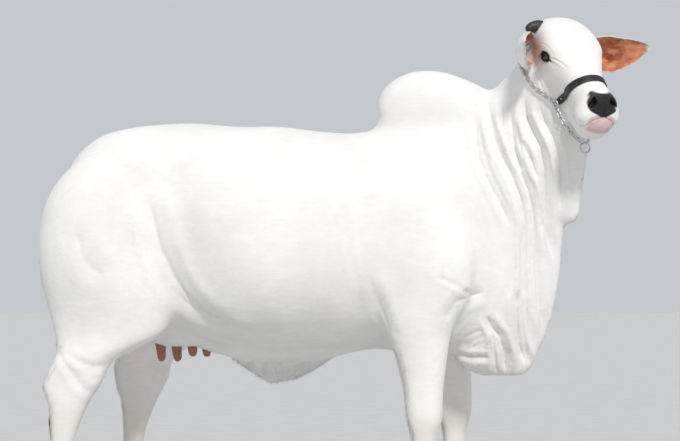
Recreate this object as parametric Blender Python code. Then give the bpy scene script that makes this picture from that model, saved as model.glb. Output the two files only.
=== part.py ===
"""A white zebu cow of the Brahman type, standing at rest, life size, in a show halter.

Metres, +Z up, +X towards the head, +Y to the cow's left. The body is lofted from named sizes, merged,
sculpted with swellings and skin folds, and then parted with thin cuts into pieces that a person would name.
"""

import math

import bmesh
import bpy
import numpy as np
from mathutils import Matrix, Vector
from mathutils.bvhtree import BVHTree

# Driving sizes
GAP = 0.0003  # between pieces that touch
SLIVER = 0.00002  # triangles thinner than this are dropped
SHARP_ANGLE = math.radians(40)
BODY_VOXEL = 0.011
BODY_TRIANGLES = 5300
FRAME_SHIFT = Vector((-0.1683, 0.0111, 0.0))  # puts the origin under the middle of the cow's box
AHEAD = Vector((1, 0, 0))
ACROSS = Vector((0, 1, 0))
UP = Vector((0, 0, 1))

# The head's own frame: u runs from the poll to the muzzle, v to the cow's left, w out of the forehead
POLL = Vector((1.012, -0.135, 1.945))
HEAD_YAW = math.radians(57)  # turned to the cow's right
HEAD_PITCH = math.radians(46)  # muzzle below the level

# Leg placing: how far each hoof stands ahead of the hip or shoulder that carries it
HIND_TRACK = 0.255  # half the distance between the hind legs
FORE_TRACK = 0.225
LEFT_HIND_STEP = 0.165
LEFT_FORE_STEP = 0.085

EYE_RADIUS = 0.0205
EYE_SPOT = Vector((0.164, 0.1055, -0.044))  # u, v, w of the left eyeball's centre
EYE_GAZE = Vector((0.36, 0.90, 0.24)).normalized()  # the way the left eye looks, in the head's frame
LID = 0.0050  # how far the lids stand over the eyeball

COLOURS = {
    # base colour, roughness, metallic
    "hide": ((0.86, 0.84, 0.80), 0.85, 0.0),
    "ear_hide": ((0.80, 0.52, 0.40), 0.80, 0.0),
    "eye": ((0.012, 0.009, 0.008), 0.12, 0.0),
    "horn": ((0.035, 0.035, 0.040), 0.45, 0.0),
    "hoof": ((0.050, 0.046, 0.042), 0.50, 0.0),
    "teat_skin": ((0.23, 0.085, 0.055), 0.60, 0.0),
    "switch_hair": ((0.015, 0.013, 0.012), 0.60, 0.0),
    "leather": ((0.012, 0.012, 0.013), 0.45, 0.0),
    "steel": ((0.62, 0.62, 0.63), 0.30, 1.0),
}


def head_axes():
    """The head's u, v and w directions as the columns of a matrix."""
    u = Vector((
        math.cos(HEAD_PITCH) * math.cos(HEAD_YAW),
        -math.cos(HEAD_PITCH) * math.sin(HEAD_YAW),
        -math.sin(HEAD_PITCH),
    ))
    v = Vector((math.sin(HEAD_YAW), math.cos(HEAD_YAW), 0.0))
    w = u.cross(v)
    return Matrix((u, v, w)).transposed()


HEAD = head_axes()


def head_point(u, v, w):
    return POLL + HEAD @ Vector((u, v, w))


# Small modelling tools


def eased(rows, count):
    """The rows of a table of sizes, joined by a smooth curve that is read at count even steps."""
    table = np.array(rows, float)
    padded = np.vstack([2 * table[0] - table[1], table, 2 * table[-1] - table[-2]])
    out = []
    for place in np.linspace(0, len(table) - 1, count):
        i = min(int(place), len(table) - 2)
        t = place - i
        a, b, c, d = padded[i : i + 4]
        slope_b, slope_c = (c - a) / 2, (d - b) / 2
        out.append(
            b * (2 * t**3 - 3 * t**2 + 1)
            + slope_b * (t**3 - 2 * t**2 + t)
            + c * (3 * t**2 - 2 * t**3)
            + slope_c * (t**3 - t**2)
        )
    return out


def oval(centre, side, rise, half_width, above, below, powers, sides=28):
    """A ring of points: half_width along side, and above and below the widest line along rise."""
    ring = []
    for k in range(sides):
        a = 2 * math.pi * k / sides
        c, s = math.cos(a), math.sin(a)
        height, power = (above, powers[0]) if s >= 0 else (below, powers[1])
        across = math.copysign(abs(c) ** (2 / power), c) * half_width
        along = math.copysign(abs(s) ** (2 / power), s) * height
        ring.append(centre + side * across + rise * along)
    return ring


def lofted(name, rings):
    """A closed mesh object through the rings, with flat ends, facing out."""
    bm = bmesh.new()
    loops = [[bm.verts.new(p) for p in ring] for ring in rings]
    for a, b in zip(loops, loops[1:]):
        for i in range(len(a)):
            j = (i + 1) % len(a)
            bm.faces.new((a[i], a[j], b[j], b[i]))
    bm.faces.new(reversed(loops[0]))
    bm.faces.new(loops[-1])
    return finished(name, bm)


def finished(name, bm):
    """A new object that holds the mesh, turned to face out."""
    if bm.calc_volume(signed=True) < 0:
        bmesh.ops.reverse_faces(bm, faces=bm.faces)
    mesh = bpy.data.meshes.new(name)
    bm.to_mesh(mesh)
    bm.free()
    made = bpy.data.objects.new(name, mesh)
    bpy.context.scene.collection.objects.link(made)
    return made


def applied(obj):
    """The object with its modifiers made part of its mesh."""
    graph = bpy.context.evaluated_depsgraph_get()
    graph.update()
    mesh = bpy.data.meshes.new_from_object(obj.evaluated_get(graph), depsgraph=graph)
    obj.modifiers.clear()
    obj.data = mesh
    return obj


def removed(*objects):
    for obj in objects:
        bpy.data.objects.remove(obj)


def joined(name, objects):
    """One object that holds the meshes of several, as separate shells."""
    bm = bmesh.new()
    for obj in objects:
        bm.from_mesh(obj.data)
    removed(*objects)
    return finished(name, bm)


def combined(obj, others, operation, solver="EXACT"):
    """obj united with, or cut by, other closed objects, which are used up."""
    group = bpy.data.collections.new("tools")
    bpy.context.scene.collection.children.link(group)
    for other in others:
        bpy.context.scene.collection.objects.unlink(other)
        group.objects.link(other)
    step = obj.modifiers.new("combine", "BOOLEAN")
    step.operand_type = "COLLECTION"
    step.collection = group
    step.operation = operation
    step.solver = solver
    applied(obj)
    removed(*others)
    bpy.data.collections.remove(group)
    return in_triangles(obj)


def in_triangles(obj):
    """Splits every face into triangles, and drops the ones that have no area or hang by one edge."""
    bm = bmesh.new()
    bm.from_mesh(obj.data)
    bmesh.ops.triangulate(bm, faces=bm.faces)
    bmesh.ops.dissolve_degenerate(bm, dist=SLIVER, edges=bm.edges)
    bmesh.ops.triangulate(bm, faces=bm.faces)
    hanging = [f for f in bm.faces if sum(e.is_boundary for e in f.edges) > 1]
    bmesh.ops.delete(bm, geom=hanging, context="FACES")
    bm.to_mesh(obj.data)
    bm.free()
    return obj


def shells(obj):
    """The vertex sets of the separate closed surfaces of an object, largest box first."""
    bm = bmesh.new()
    bm.from_mesh(obj.data)
    bm.verts.ensure_lookup_table()
    seen, found = set(), []
    for start in bm.verts:
        if start.index in seen:
            continue
        stack, group = [start], []
        seen.add(start.index)
        while stack:
            v = stack.pop()
            group.append(v.index)
            for e in v.link_edges:
                o = e.other_vert(v)
                if o.index not in seen:
                    seen.add(o.index)
                    stack.append(o)
        found.append(group)
    bm.free()
    return sorted(found, key=len, reverse=True)


def only_shell(obj, group):
    """Keeps the vertices of one closed surface."""
    keep = set(group)
    bm = bmesh.new()
    bm.from_mesh(obj.data)
    bm.verts.ensure_lookup_table()
    bmesh.ops.delete(bm, geom=[v for v in bm.verts if v.index not in keep], context="VERTS")
    bm.to_mesh(obj.data)
    bm.free()
    return obj


def largest(obj):
    return only_shell(obj, shells(obj)[0])


def grown(obj, amount, name="grown"):
    """A copy whose surface stands out by amount."""
    copy = bpy.data.objects.new(name, obj.data.copy())
    bpy.context.scene.collection.objects.link(copy)
    step = copy.modifiers.new("grow", "DISPLACE")
    step.strength = amount
    step.mid_level = 0.0
    return applied(copy)


def fitted_to(piece, body):
    """Cuts a piece back from the body that it grows from, so that they meet face to face."""
    return largest(combined(piece, [grown(body, GAP * 1.3)], "DIFFERENCE"))


def prism(outline, near, far, place=None, name="block"):
    """A side-view outline of (forward, up) points, drawn out sideways from near to far."""
    if place is None:
        place = plain_place
    bm = bmesh.new()
    rings = [[bm.verts.new(place(a, side, b)) for a, b in outline] for side in (near, far)]
    count = len(outline)
    for i in range(count):
        j = (i + 1) % count
        bm.faces.new((rings[0][i], rings[0][j], rings[1][j], rings[1][i]))
    bm.faces.new(reversed(rings[0]))
    bm.faces.new(rings[1])
    return finished(name, bm)


def plain_place(x, y, z):
    return Vector((x, y, z))


def thickened(obj, amount, name="thickened"):
    """A copy with every face moved out by amount, corners included."""
    bm = bmesh.new()
    bm.from_mesh(obj.data)
    bm.normal_update()
    moves = [(v, v.normal * amount * v.calc_shell_factor()) for v in bm.verts]
    for v, move in moves:
        v.co += move
    return finished(name, bm)


def parted(body, block, name):
    """Takes what lies inside the block out of the body as its own piece, with a gap between the two."""
    piece = bpy.data.objects.new(name, body.data.copy())
    bpy.context.scene.collection.objects.link(piece)
    wider = thickened(block, GAP)
    combined(piece, [block], "INTERSECT")
    combined(body, [wider], "DIFFERENCE")
    largest(piece)
    largest(body)
    return piece


def coloured(obj, kind):
    colour, roughness, metallic = COLOURS[kind]
    skin = bpy.data.materials.new(obj.name + "_" + kind)
    skin.use_nodes = True
    shader = skin.node_tree.nodes["Principled BSDF"]
    shader.inputs["Base Color"].default_value = (*colour, 1)
    shader.inputs["Roughness"].default_value = roughness
    shader.inputs["Metallic"].default_value = metallic
    obj.data.materials.clear()
    obj.data.materials.append(skin)
    return obj


def tube(name, points, radii, sides=8, flat=1.0):
    """A round bar along some points, whose radius changes; flat squeezes it sideways."""
    rings = []
    side = None
    for i, p in enumerate(points):
        along = (points[min(i + 1, len(points) - 1)] - points[max(i - 1, 0)]).normalized()
        if side is None:
            side = along.cross(ACROSS if abs(along.y) < 0.9 else AHEAD)
        side = (side - along * side.dot(along)).normalized()
        rise = side.cross(along)
        rings.append(oval(p, side, rise, radii[i] * flat, radii[i], radii[i], (2, 2), sides))
    return lofted(name, rings)


def surface_tree(*objects):
    """Something to aim at the surfaces of several objects."""
    points, faces = [], []
    for obj in objects:
        start = len(points)
        points += [v.co.copy() for v in obj.data.vertices]
        faces += [tuple(start + i for i in f.vertices) for f in obj.data.polygons]
    return BVHTree.FromPolygons(points, faces)


# The body's forms

BARREL = (
    # x, top, bottom, half width, height of the widest line, roundness above, below
    (-0.950, 1.300, 1.020, 0.060, 1.160, 2.0, 2.0),
    (-0.930, 1.385, 0.930, 0.125, 1.180, 2.0, 2.0),
    (-0.895, 1.448, 0.860, 0.185, 1.190, 2.1, 2.0),
    (-0.841, 1.500, 0.800, 0.235, 1.220, 2.2, 2.0),
    (-0.760, 1.545, 0.755, 0.275, 1.240, 2.4, 2.0),
    (-0.640, 1.568, 0.748, 0.305, 1.230, 2.7, 2.0),
    (-0.520, 1.578, 0.748, 0.320, 1.180, 2.8, 2.0),
    (-0.399, 1.581, 0.728, 0.345, 1.140, 2.7, 2.1),
    (-0.239, 1.566, 0.695, 0.380, 1.110, 2.5, 2.1),
    (-0.080, 1.566, 0.685, 0.395, 1.100, 2.4, 2.1),
    (0.078, 1.546, 0.692, 0.390, 1.110, 2.3, 2.1),
    (0.196, 1.538, 0.700, 0.368, 1.120, 2.2, 2.1),
    (0.300, 1.550, 0.700, 0.342, 1.130, 2.1, 2.1),
    (0.420, 1.590, 0.690, 0.322, 1.120, 2.0, 2.2),
    (0.540, 1.620, 0.680, 0.300, 1.100, 2.0, 2.2),
    (0.640, 1.610, 0.690, 0.262, 1.080, 2.0, 2.1),
    (0.730, 1.560, 0.720, 0.205, 1.060, 2.0, 2.0),
    (0.800, 1.450, 0.780, 0.140, 1.050, 2.0, 2.0),
    (0.845, 1.300, 0.860, 0.070, 1.040, 2.0, 2.0),
)


def barrel():
    rings = [
        oval(Vector((x, 0, wide)), ACROSS, UP, half, top - wide, wide - low, (up, down), 40)
        for x, top, low, half, wide, up, down in eased(BARREL, 60)
    ]
    return lofted("barrel", rings)


HUMP = (
    # x, top, half width
    (0.302, 1.598, 0.030),
    (0.304, 1.640, 0.062),
    (0.313, 1.676, 0.092),
    (0.330, 1.710, 0.118),
    (0.369, 1.745, 0.138),
    (0.432, 1.773, 0.150),
    (0.510, 1.780, 0.152),
    (0.587, 1.767, 0.146),
    (0.665, 1.736, 0.130),
    (0.735, 1.700, 0.105),
    (0.790, 1.640, 0.060),
)
HUMP_SEAT = 1.560  # the height of the hump's widest line, inside the back
HUMP_ROOT = 0.120  # how far the hump goes on below it


def hump():
    rings = [
        oval(Vector((x, 0, HUMP_SEAT)), ACROSS, UP, half, top - HUMP_SEAT, HUMP_ROOT, (2.3, 2.0))
        for x, top, half in eased(HUMP, 26)
    ]
    return lofted("hump", rings)


NECK = (
    # crest x, y, z, throat x, y, z, half width, turn of the neck in degrees
    (0.540, 0.000, 1.600, 0.600, 0.000, 0.960, 0.200, 0),
    (0.680, 0.000, 1.680, 0.740, 0.000, 1.040, 0.180, 4),
    (0.760, -0.004, 1.716, 0.860, -0.010, 1.140, 0.158, 12),
    (0.820, -0.020, 1.757, 0.940, -0.030, 1.250, 0.140, 24),
    (0.865, -0.045, 1.800, 1.000, -0.070, 1.350, 0.128, 34),
    (0.905, -0.075, 1.850, 1.045, -0.110, 1.430, 0.118, 42),
    (0.950, -0.105, 1.905, 1.080, -0.155, 1.500, 0.108, 48),
    (1.000, -0.140, 1.925, 1.105, -0.200, 1.560, 0.092, 50),
)


def neck():
    rings = []
    for cx, cy, cz, tx, ty, tz, half, turn in eased(NECK, 26):
        crest, throat = Vector((cx, cy, cz)), Vector((tx, ty, tz))
        yaw = math.radians(turn)
        side = Vector((math.sin(yaw), math.cos(yaw), 0))
        middle = crest.lerp(throat, 0.55)
        rise = (crest - throat).normalized()
        above, below = (crest - middle).length, (throat - middle).length
        rings.append(oval(middle, side, rise, half, above, below, (2.0, 2.2)))
    return lofted("neck", rings)


DEWLAP = (
    # z, back x, front x, y at the back, y at the front, half width at the back, half thickness in front
    (0.596, 0.700, 0.868, 0.000, -0.010, 0.040, 0.020),
    (0.622, 0.640, 0.900, 0.000, -0.012, 0.075, 0.028),
    (0.665, 0.600, 0.920, 0.000, -0.014, 0.110, 0.034),
    (0.730, 0.600, 0.950, 0.000, -0.018, 0.150, 0.036),
    (0.810, 0.600, 0.978, 0.000, -0.024, 0.190, 0.036),
    (0.900, 0.600, 0.998, 0.000, -0.030, 0.215, 0.036),
    (1.000, 0.600, 1.014, 0.000, -0.038, 0.225, 0.036),
    (1.100, 0.610, 1.022, 0.000, -0.048, 0.220, 0.037),
    (1.180, 0.630, 1.030, 0.000, -0.062, 0.205, 0.038),
    (1.250, 0.660, 1.048, 0.000, -0.082, 0.185, 0.038),
    (1.330, 0.710, 1.068, -0.010, -0.110, 0.160, 0.036),
    (1.410, 0.780, 1.088, -0.030, -0.145, 0.135, 0.034),
    (1.480, 0.850, 1.105, -0.060, -0.180, 0.112, 0.034),
    (1.530, 0.900, 1.110, -0.090, -0.200, 0.090, 0.034),
)
THROAT_FLAP = (
    # the upper flap of the dewlap, which ends above the lower one in a rounded fold
    (1.176, 1.000, 1.058, -0.050, -0.078, 0.018, 0.014),
    (1.192, 0.960, 1.078, -0.048, -0.086, 0.036, 0.024),
    (1.230, 0.930, 1.090, -0.048, -0.092, 0.056, 0.030),
    (1.309, 0.930, 1.098, -0.050, -0.112, 0.066, 0.032),
    (1.386, 0.930, 1.114, -0.060, -0.142, 0.070, 0.032),
    (1.463, 0.940, 1.122, -0.080, -0.180, 0.072, 0.030),
    (1.505, 0.950, 1.106, -0.095, -0.195, 0.066, 0.026),
    (1.540, 0.960, 1.075, -0.105, -0.195, 0.055, 0.022),
)


def wedge_ring(z, back, front, back_y, front_y, half, edge, sides=30):
    """A level ring that narrows from half width at the back to a round edge at the front."""
    ring = []
    for k in range(sides):
        a = 2 * math.pi * k / sides
        share = (1 - math.cos(a)) / 2  # 0 at the front, 1 at the back
        reach = 1 - share
        width = edge + (half - edge) * share**0.9
        middle = front_y + (back_y - front_y) * share
        side = math.copysign(abs(math.sin(a)) ** 0.62, math.sin(a))
        ring.append(Vector((back + (front - back) * reach, middle + side * width, z)))
    return ring


def wedge(name, rows, count):
    return lofted(name, [wedge_ring(*row) for row in eased(rows, count)])


NAVEL_FLAP = (
    # x, lowest point, half thickness
    (-0.430, 0.700, 0.030),
    (-0.350, 0.676, 0.032),
    (-0.277, 0.655, 0.032),
    (-0.220, 0.622, 0.030),
    (-0.165, 0.585, 0.028),
    (-0.119, 0.560, 0.027),
    (-0.070, 0.566, 0.027),
    (-0.010, 0.578, 0.027),
    (0.050, 0.607, 0.029),
    (0.118, 0.648, 0.032),
    (0.200, 0.676, 0.036),
    (0.300, 0.690, 0.040),
    (0.420, 0.680, 0.050),
)
FLAP_ROOT = 0.800


def navel_flap():
    rings = [
        oval(Vector((x, 0, (FLAP_ROOT + low) / 2)), ACROSS, UP, half,
             (FLAP_ROOT - low) / 2, (FLAP_ROOT - low) / 2, (2.6, 2.2), 20)
        for x, low, half in eased(NAVEL_FLAP, 36)
    ]
    return lofted("navel_flap", rings)


HIND_LEG = (
    # z, back x, front x, distance of the middle from the track line (outwards), half width, roundness
    (1.440, -0.840, -0.560, -0.110, 0.110, 2.0),
    (1.340, -0.930, -0.500, -0.075, 0.145, 2.1),
    (1.220, -0.978, -0.480, -0.060, 0.160, 2.2),
    (1.080, -0.992, -0.480, -0.058, 0.166, 2.2),
    (0.960, -0.985, -0.470, -0.062, 0.160, 2.2),
    (0.880, -0.965, -0.455, -0.064, 0.148, 2.2),
    (0.810, -0.945, -0.465, -0.058, 0.130, 2.2),
    (0.750, -0.925, -0.500, -0.045, 0.110, 2.2),
    (0.700, -0.910, -0.590, -0.025, 0.092, 2.2),
    (0.657, -0.922, -0.672, -0.010, 0.078, 2.2),
    (0.619, -0.944, -0.705, -0.004, 0.068, 2.3),
    (0.580, -0.953, -0.720, 0.000, 0.062, 2.4),
    (0.542, -0.955, -0.742, 0.000, 0.060, 2.4),
    (0.504, -0.945, -0.768, 0.000, 0.058, 2.4),
    (0.466, -0.937, -0.788, 0.000, 0.054, 2.3),
    (0.420, -0.933, -0.808, 0.000, 0.047, 2.2),
    (0.350, -0.930, -0.832, 0.000, 0.040, 2.2),
    (0.270, -0.926, -0.842, 0.000, 0.037, 2.2),
    (0.200, -0.930, -0.838, 0.000, 0.040, 2.3),
    (0.155, -0.940, -0.826, 0.000, 0.051, 2.4),
    (0.125, -0.938, -0.812, 0.000, 0.053, 2.4),
    (0.095, -0.914, -0.798, 0.000, 0.047, 2.4),
    (0.070, -0.900, -0.782, 0.000, 0.052, 2.5),
    (0.030, -0.892, -0.768, 0.000, 0.056, 2.6),
)
FORE_LEG = (
    (1.360, 0.420, 0.570, -0.035, 0.080, 2.0),
    (1.240, 0.370, 0.630, -0.018, 0.092, 2.1),
    (1.120, 0.350, 0.675, -0.004, 0.102, 2.1),
    (1.000, 0.325, 0.695, 0.006, 0.107, 2.2),
    (0.900, 0.320, 0.680, 0.008, 0.106, 2.2),
    (0.820, 0.335, 0.636, 0.006, 0.100, 2.2),
    (0.760, 0.358, 0.608, 0.002, 0.092, 2.2),
    (0.700, 0.384, 0.598, 0.000, 0.084, 2.2),
    (0.640, 0.402, 0.590, 0.000, 0.076, 2.2),
    (0.587, 0.415, 0.583, 0.000, 0.070, 2.2),
    (0.540, 0.424, 0.579, 0.000, 0.067, 2.3),
    (0.490, 0.430, 0.576, 0.000, 0.066, 2.5),
    (0.450, 0.434, 0.574, 0.000, 0.066, 2.6),
    (0.410, 0.442, 0.566, 0.000, 0.060, 2.5),
    (0.360, 0.452, 0.552, 0.000, 0.048, 2.3),
    (0.280, 0.458, 0.544, 0.000, 0.041, 2.2),
    (0.210, 0.455, 0.546, 0.000, 0.043, 2.3),
    (0.160, 0.444, 0.558, 0.000, 0.053, 2.4),
    (0.128, 0.446, 0.572, 0.000, 0.055, 2.4),
    (0.097, 0.468, 0.588, 0.000, 0.050, 2.4),
    (0.070, 0.482, 0.604, 0.000, 0.055, 2.5),
    (0.030, 0.490, 0.618, 0.000, 0.059, 2.6),
)


STEP_DONE = 0.45  # the height below which a leg has all of its step


def step_at(z, top, step):
    """How far forward a leg has stepped at height z: nothing at the top, all of it below the knee."""
    share = min(max((top - z) / (top - STEP_DONE), 0), 1)
    return step * share * share * (3 - 2 * share)


def leg(name, rows, track, side, step, top):
    rings = []
    for z, back, front, out, half, power in eased(rows, 64):
        shift = step_at(z, top, step)
        centre = Vector(((back + front) / 2 + shift, side * (track + out), z))
        reach = (front - back) / 2
        rings.append(oval(centre, AHEAD, ACROSS, reach, half, half, (power, power), 24))
    return lofted(name, rings)


SKULL = (
    # u, top w, bottom w, half width, w of the widest line, roundness above, below
    (-0.050, -0.045, -0.120, 0.050, -0.080, 2.0, 2.0),
    (-0.030, -0.008, -0.150, 0.078, -0.075, 2.2, 2.0),
    (0.005, 0.022, -0.170, 0.100, -0.056, 2.5, 2.0),
    (0.055, 0.040, -0.190, 0.113, -0.040, 2.8, 2.0),
    (0.110, 0.045, -0.200, 0.121, -0.034, 3.0, 1.9),
    (0.165, 0.038, -0.205, 0.121, -0.036, 3.0, 1.8),
    (0.220, 0.026, -0.195, 0.105, -0.042, 2.6, 1.8),
    (0.275, 0.017, -0.172, 0.086, -0.052, 2.2, 1.9),
    (0.330, 0.012, -0.150, 0.072, -0.058, 2.1, 2.0),
    (0.380, 0.010, -0.134, 0.071, -0.060, 2.2, 2.1),
    (0.412, 0.009, -0.128, 0.081, -0.062, 2.3, 2.4),
    (0.433, 0.002, -0.130, 0.088, -0.065, 2.4, 2.5),
    (0.450, -0.013, -0.131, 0.089, -0.068, 2.4, 2.5),
    (0.466, -0.028, -0.130, 0.087, -0.071, 2.4, 2.5),
    (0.480, -0.042, -0.125, 0.079, -0.074, 2.3, 2.4),
    (0.491, -0.053, -0.114, 0.062, -0.077, 2.2, 2.3),
    (0.499, -0.066, -0.098, 0.036, -0.079, 2.2, 2.2),
)
JAW = (
    (0.080, -0.120, -0.190, 0.060, -0.150, 2.2, 2.2),
    (0.110, -0.090, -0.222, 0.078, -0.150, 2.2, 2.2),
    (0.160, -0.080, -0.240, 0.086, -0.150, 2.2, 2.2),
    (0.215, -0.080, -0.238, 0.080, -0.150, 2.2, 2.2),
    (0.270, -0.080, -0.222, 0.067, -0.148, 2.2, 2.2),
    (0.330, -0.078, -0.204, 0.057, -0.140, 2.2, 2.2),
    (0.390, -0.070, -0.190, 0.059, -0.128, 2.3, 2.3),
    (0.430, -0.064, -0.186, 0.063, -0.120, 2.4, 2.4),
    (0.464, -0.060, -0.182, 0.062, -0.114, 2.4, 2.4),
    (0.488, -0.060, -0.170, 0.056, -0.108, 2.3, 2.3),
    (0.502, -0.066, -0.150, 0.045, -0.104, 2.2, 2.2),
    (0.510, -0.082, -0.128, 0.024, -0.104, 2.1, 2.1),
)


def head_loft(name, rows, count):
    rings = []
    for u, top, low, half, wide, up, down in eased(rows, count):
        middle = head_point(u, 0, wide)
        rings.append(oval(middle, HEAD.col[1], HEAD.col[2], half, top - wide, wide - low, (up, down)))
    return lofted(name, rings)


UDDER = (
    # z, back x, front x, half width
    (0.860, -0.620, -0.330, 0.085),
    (0.790, -0.620, -0.330, 0.090),
    (0.745, -0.605, -0.335, 0.090),
    (0.715, -0.585, -0.350, 0.080),
    (0.700, -0.550, -0.380, 0.050),
)


def udder():
    rings = [
        oval(Vector(((back + front) / 2, 0, z)), AHEAD, ACROSS,
             (front - back) / 2, half, half, (2.2, 2.2), 24)
        for z, back, front, half in eased(UDDER, 12)
    ]
    return lofted("udder", rings)


# The surface over the merged forms

SWELLINGS = (
    # x, y, z, reach in x, y, z, height; a y other than 0 stands on both sides of the cow
    (-0.620, 0.290, 1.420, 0.090, 0.120, 0.080, 0.012),  # hooks, the corners of the hips
    (-0.965, 0.110, 1.290, 0.060, 0.070, 0.070, 0.010),  # pins, beside the tail
    (-0.790, 0.330, 1.100, 0.170, 0.120, 0.220, 0.016),  # thigh
    (-0.620, 0.330, 0.900, 0.110, 0.120, 0.110, 0.012),  # stifle
    (-0.470, 0.320, 1.330, 0.085, 0.140, 0.080, -0.012),  # hollow of the flank
    (-0.420, 0.360, 1.060, 0.080, 0.140, 0.190, -0.020),  # in front of the thigh
    (-0.970, 0.000, 1.130, 0.110, 0.045, 0.270, -0.062),  # cleft under the tail
    (0.470, 0.320, 1.220, 0.120, 0.140, 0.230, 0.012),  # shoulder blade
    (0.600, 0.280, 1.000, 0.110, 0.120, 0.110, 0.008),  # point of the shoulder
    (0.255, 0.380, 1.180, 0.060, 0.160, 0.300, -0.009),  # behind the shoulder
    (0.330, 0.340, 0.930, 0.050, 0.120, 0.060, 0.010),  # elbow
    (0.050, 0.400, 0.950, 0.300, 0.160, 0.160, 0.008),  # ribs
    (0.310, 0.000, 1.590, 0.030, 0.120, 0.030, -0.012),  # crease behind the hump
    (0.760, 0.000, 1.700, 0.035, 0.120, 0.040, -0.008),  # dip in front of the hump
    (-0.950, 0.255, 0.560, 0.030, 0.060, 0.030, 0.006),  # hock point
    (-0.850, 0.255, 0.640, 0.060, 0.100, 0.050, 0.006),  # tendons over the hock
    (0.500, 0.225, 0.450, 0.090, 0.080, 0.045, 0.003),  # knee
)
HEAD_SWELLINGS = (
    # u, v, w, reach in u, v, w, height
    (0.150, 0.108, -0.020, 0.045, 0.040, 0.035, 0.007),  # brow over the eye
    (0.190, 0.085, -0.045, 0.030, 0.040, 0.030, -0.004),  # inner corner of the eye
    (0.120, 0.110, -0.095, 0.050, 0.050, 0.030, -0.006),  # temple behind the eye
    (0.230, 0.075, -0.075, 0.050, 0.050, 0.020, 0.003),  # cheek bone
    (0.290, 0.070, -0.105, 0.060, 0.050, 0.030, -0.007),  # hollow of the cheek
    (0.160, 0.095, -0.165, 0.060, 0.060, 0.045, 0.006),  # jaw muscle
    (0.436, 0.058, -0.012, 0.022, 0.022, 0.022, 0.004),  # wings of the nostrils
    (0.452, 0.078, -0.088, 0.030, 0.040, 0.026, 0.005),  # upper lip, hanging at the side
    (0.487, 0.000, -0.046, 0.020, 0.012, 0.012, -0.003),  # groove under the nose
    (0.500, 0.000, -0.100, 0.030, 0.050, 0.030, 0.003),  # lower lip
    (0.490, 0.000, -0.136, 0.040, 0.060, 0.012, -0.004),  # crease over the chin
    (0.040, 0.000, 0.045, 0.060, 0.080, 0.040, 0.004),  # top of the forehead
)

FOLDS = (
    # depth on the right, depth on the left, width, then the route as (x, z) points
    (0.011, 0.008, 0.013, (
        (0.692, 1.600), (0.699, 1.487), (0.712, 1.421), (0.735, 1.364), (0.763, 1.305), (0.799, 1.232),
        (0.832, 1.150),
    )),
    (0.019, 0.014, 0.014, (
        (0.728, 1.680), (0.750, 1.587), (0.760, 1.523), (0.785, 1.451), (0.822, 1.378), (0.857, 1.299),
        (0.875, 1.246), (0.884, 1.174), (0.885, 1.066), (0.886, 0.959), (0.885, 0.868), (0.888, 0.778),
        (0.900, 0.690),
    )),
    (0.010, 0.008, 0.011, ((0.788, 1.640), (0.799, 1.523), (0.836, 1.443), (0.868, 1.370))),
    (0.020, 0.015, 0.014, (
        (0.824, 1.640), (0.833, 1.522), (0.847, 1.443), (0.865, 1.369), (0.893, 1.304), (0.911, 1.232),
        (0.918, 1.159), (0.921, 1.066), (0.927, 0.957), (0.932, 0.850), (0.949, 0.785), (0.970, 0.744),
    )),
    (0.020, 0.015, 0.014, (
        (0.877, 1.680), (0.880, 1.584), (0.909, 1.519), (0.938, 1.461), (0.955, 1.374), (0.959, 1.281),
        (0.958, 1.173), (0.972, 1.100), (0.994, 1.030),
    )),
    (0.009, 0.007, 0.012, ((0.872, 1.500), (0.884, 1.455), (0.909, 1.404), (0.934, 1.335))),
    (0.012, 0.009, 0.012, (
        (0.935, 1.630), (0.952, 1.560), (0.985, 1.500), (1.010, 1.430), (1.018, 1.330), (1.012, 1.220),
    )),
    (0.016, 0.012, 0.014, ((0.850, 0.935), (0.851, 0.890), (0.853, 0.812), (0.858, 0.719), (0.880, 0.635))),
    (0.017, 0.013, 0.014, ((0.735, 0.835), (0.754, 0.785), (0.784, 0.745), (0.800, 0.690), (0.802, 0.600))),
    (0.010, 0.008, 0.011, ((0.758, 0.760), (0.762, 0.715), (0.764, 0.667), (0.768, 0.600))),
    (0.010, 0.008, 0.010, ((0.598, 0.676), (0.640, 0.672), (0.690, 0.666), (0.750, 0.667))),
    (0.008, 0.006, 0.018, ((0.590, 0.800), (0.606, 0.840), (0.632, 0.878), (0.683, 0.900), (0.740, 0.918))),
    (0.006, 0.006, 0.020, ((0.300, 0.985), (0.318, 0.930), (0.355, 0.832), (0.385, 0.735))),
    (0.016, 0.016, 0.032, (
        (-0.540, 1.300), (-0.520, 1.190), (-0.496, 1.080), (-0.449, 0.963), (-0.387, 0.875),
        (-0.314, 0.812), (-0.190, 0.755),
    )),
    (0.006, 0.006, 0.030, ((-0.800, 1.150), (-0.781, 1.061), (-0.746, 1.008), (-0.690, 0.975))),
    (0.005, 0.005, 0.014, ((-0.895, 0.700), (-0.841, 0.624), (-0.795, 0.560), (-0.748, 0.516))),
    (0.004, 0.004, 0.012, ((-0.872, 0.700), (-0.811, 0.655), (-0.748, 0.632), (-0.690, 0.636))),
)


def vertex_rows(mesh, what):
    rows = np.empty(len(mesh.vertices) * 3)
    mesh.vertices.foreach_get(what, rows)
    return rows.reshape(-1, 3)


def swelling(places, centre, reach, height):
    return height * np.exp(-(((places - centre) / reach) ** 2).sum(axis=1))


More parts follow.
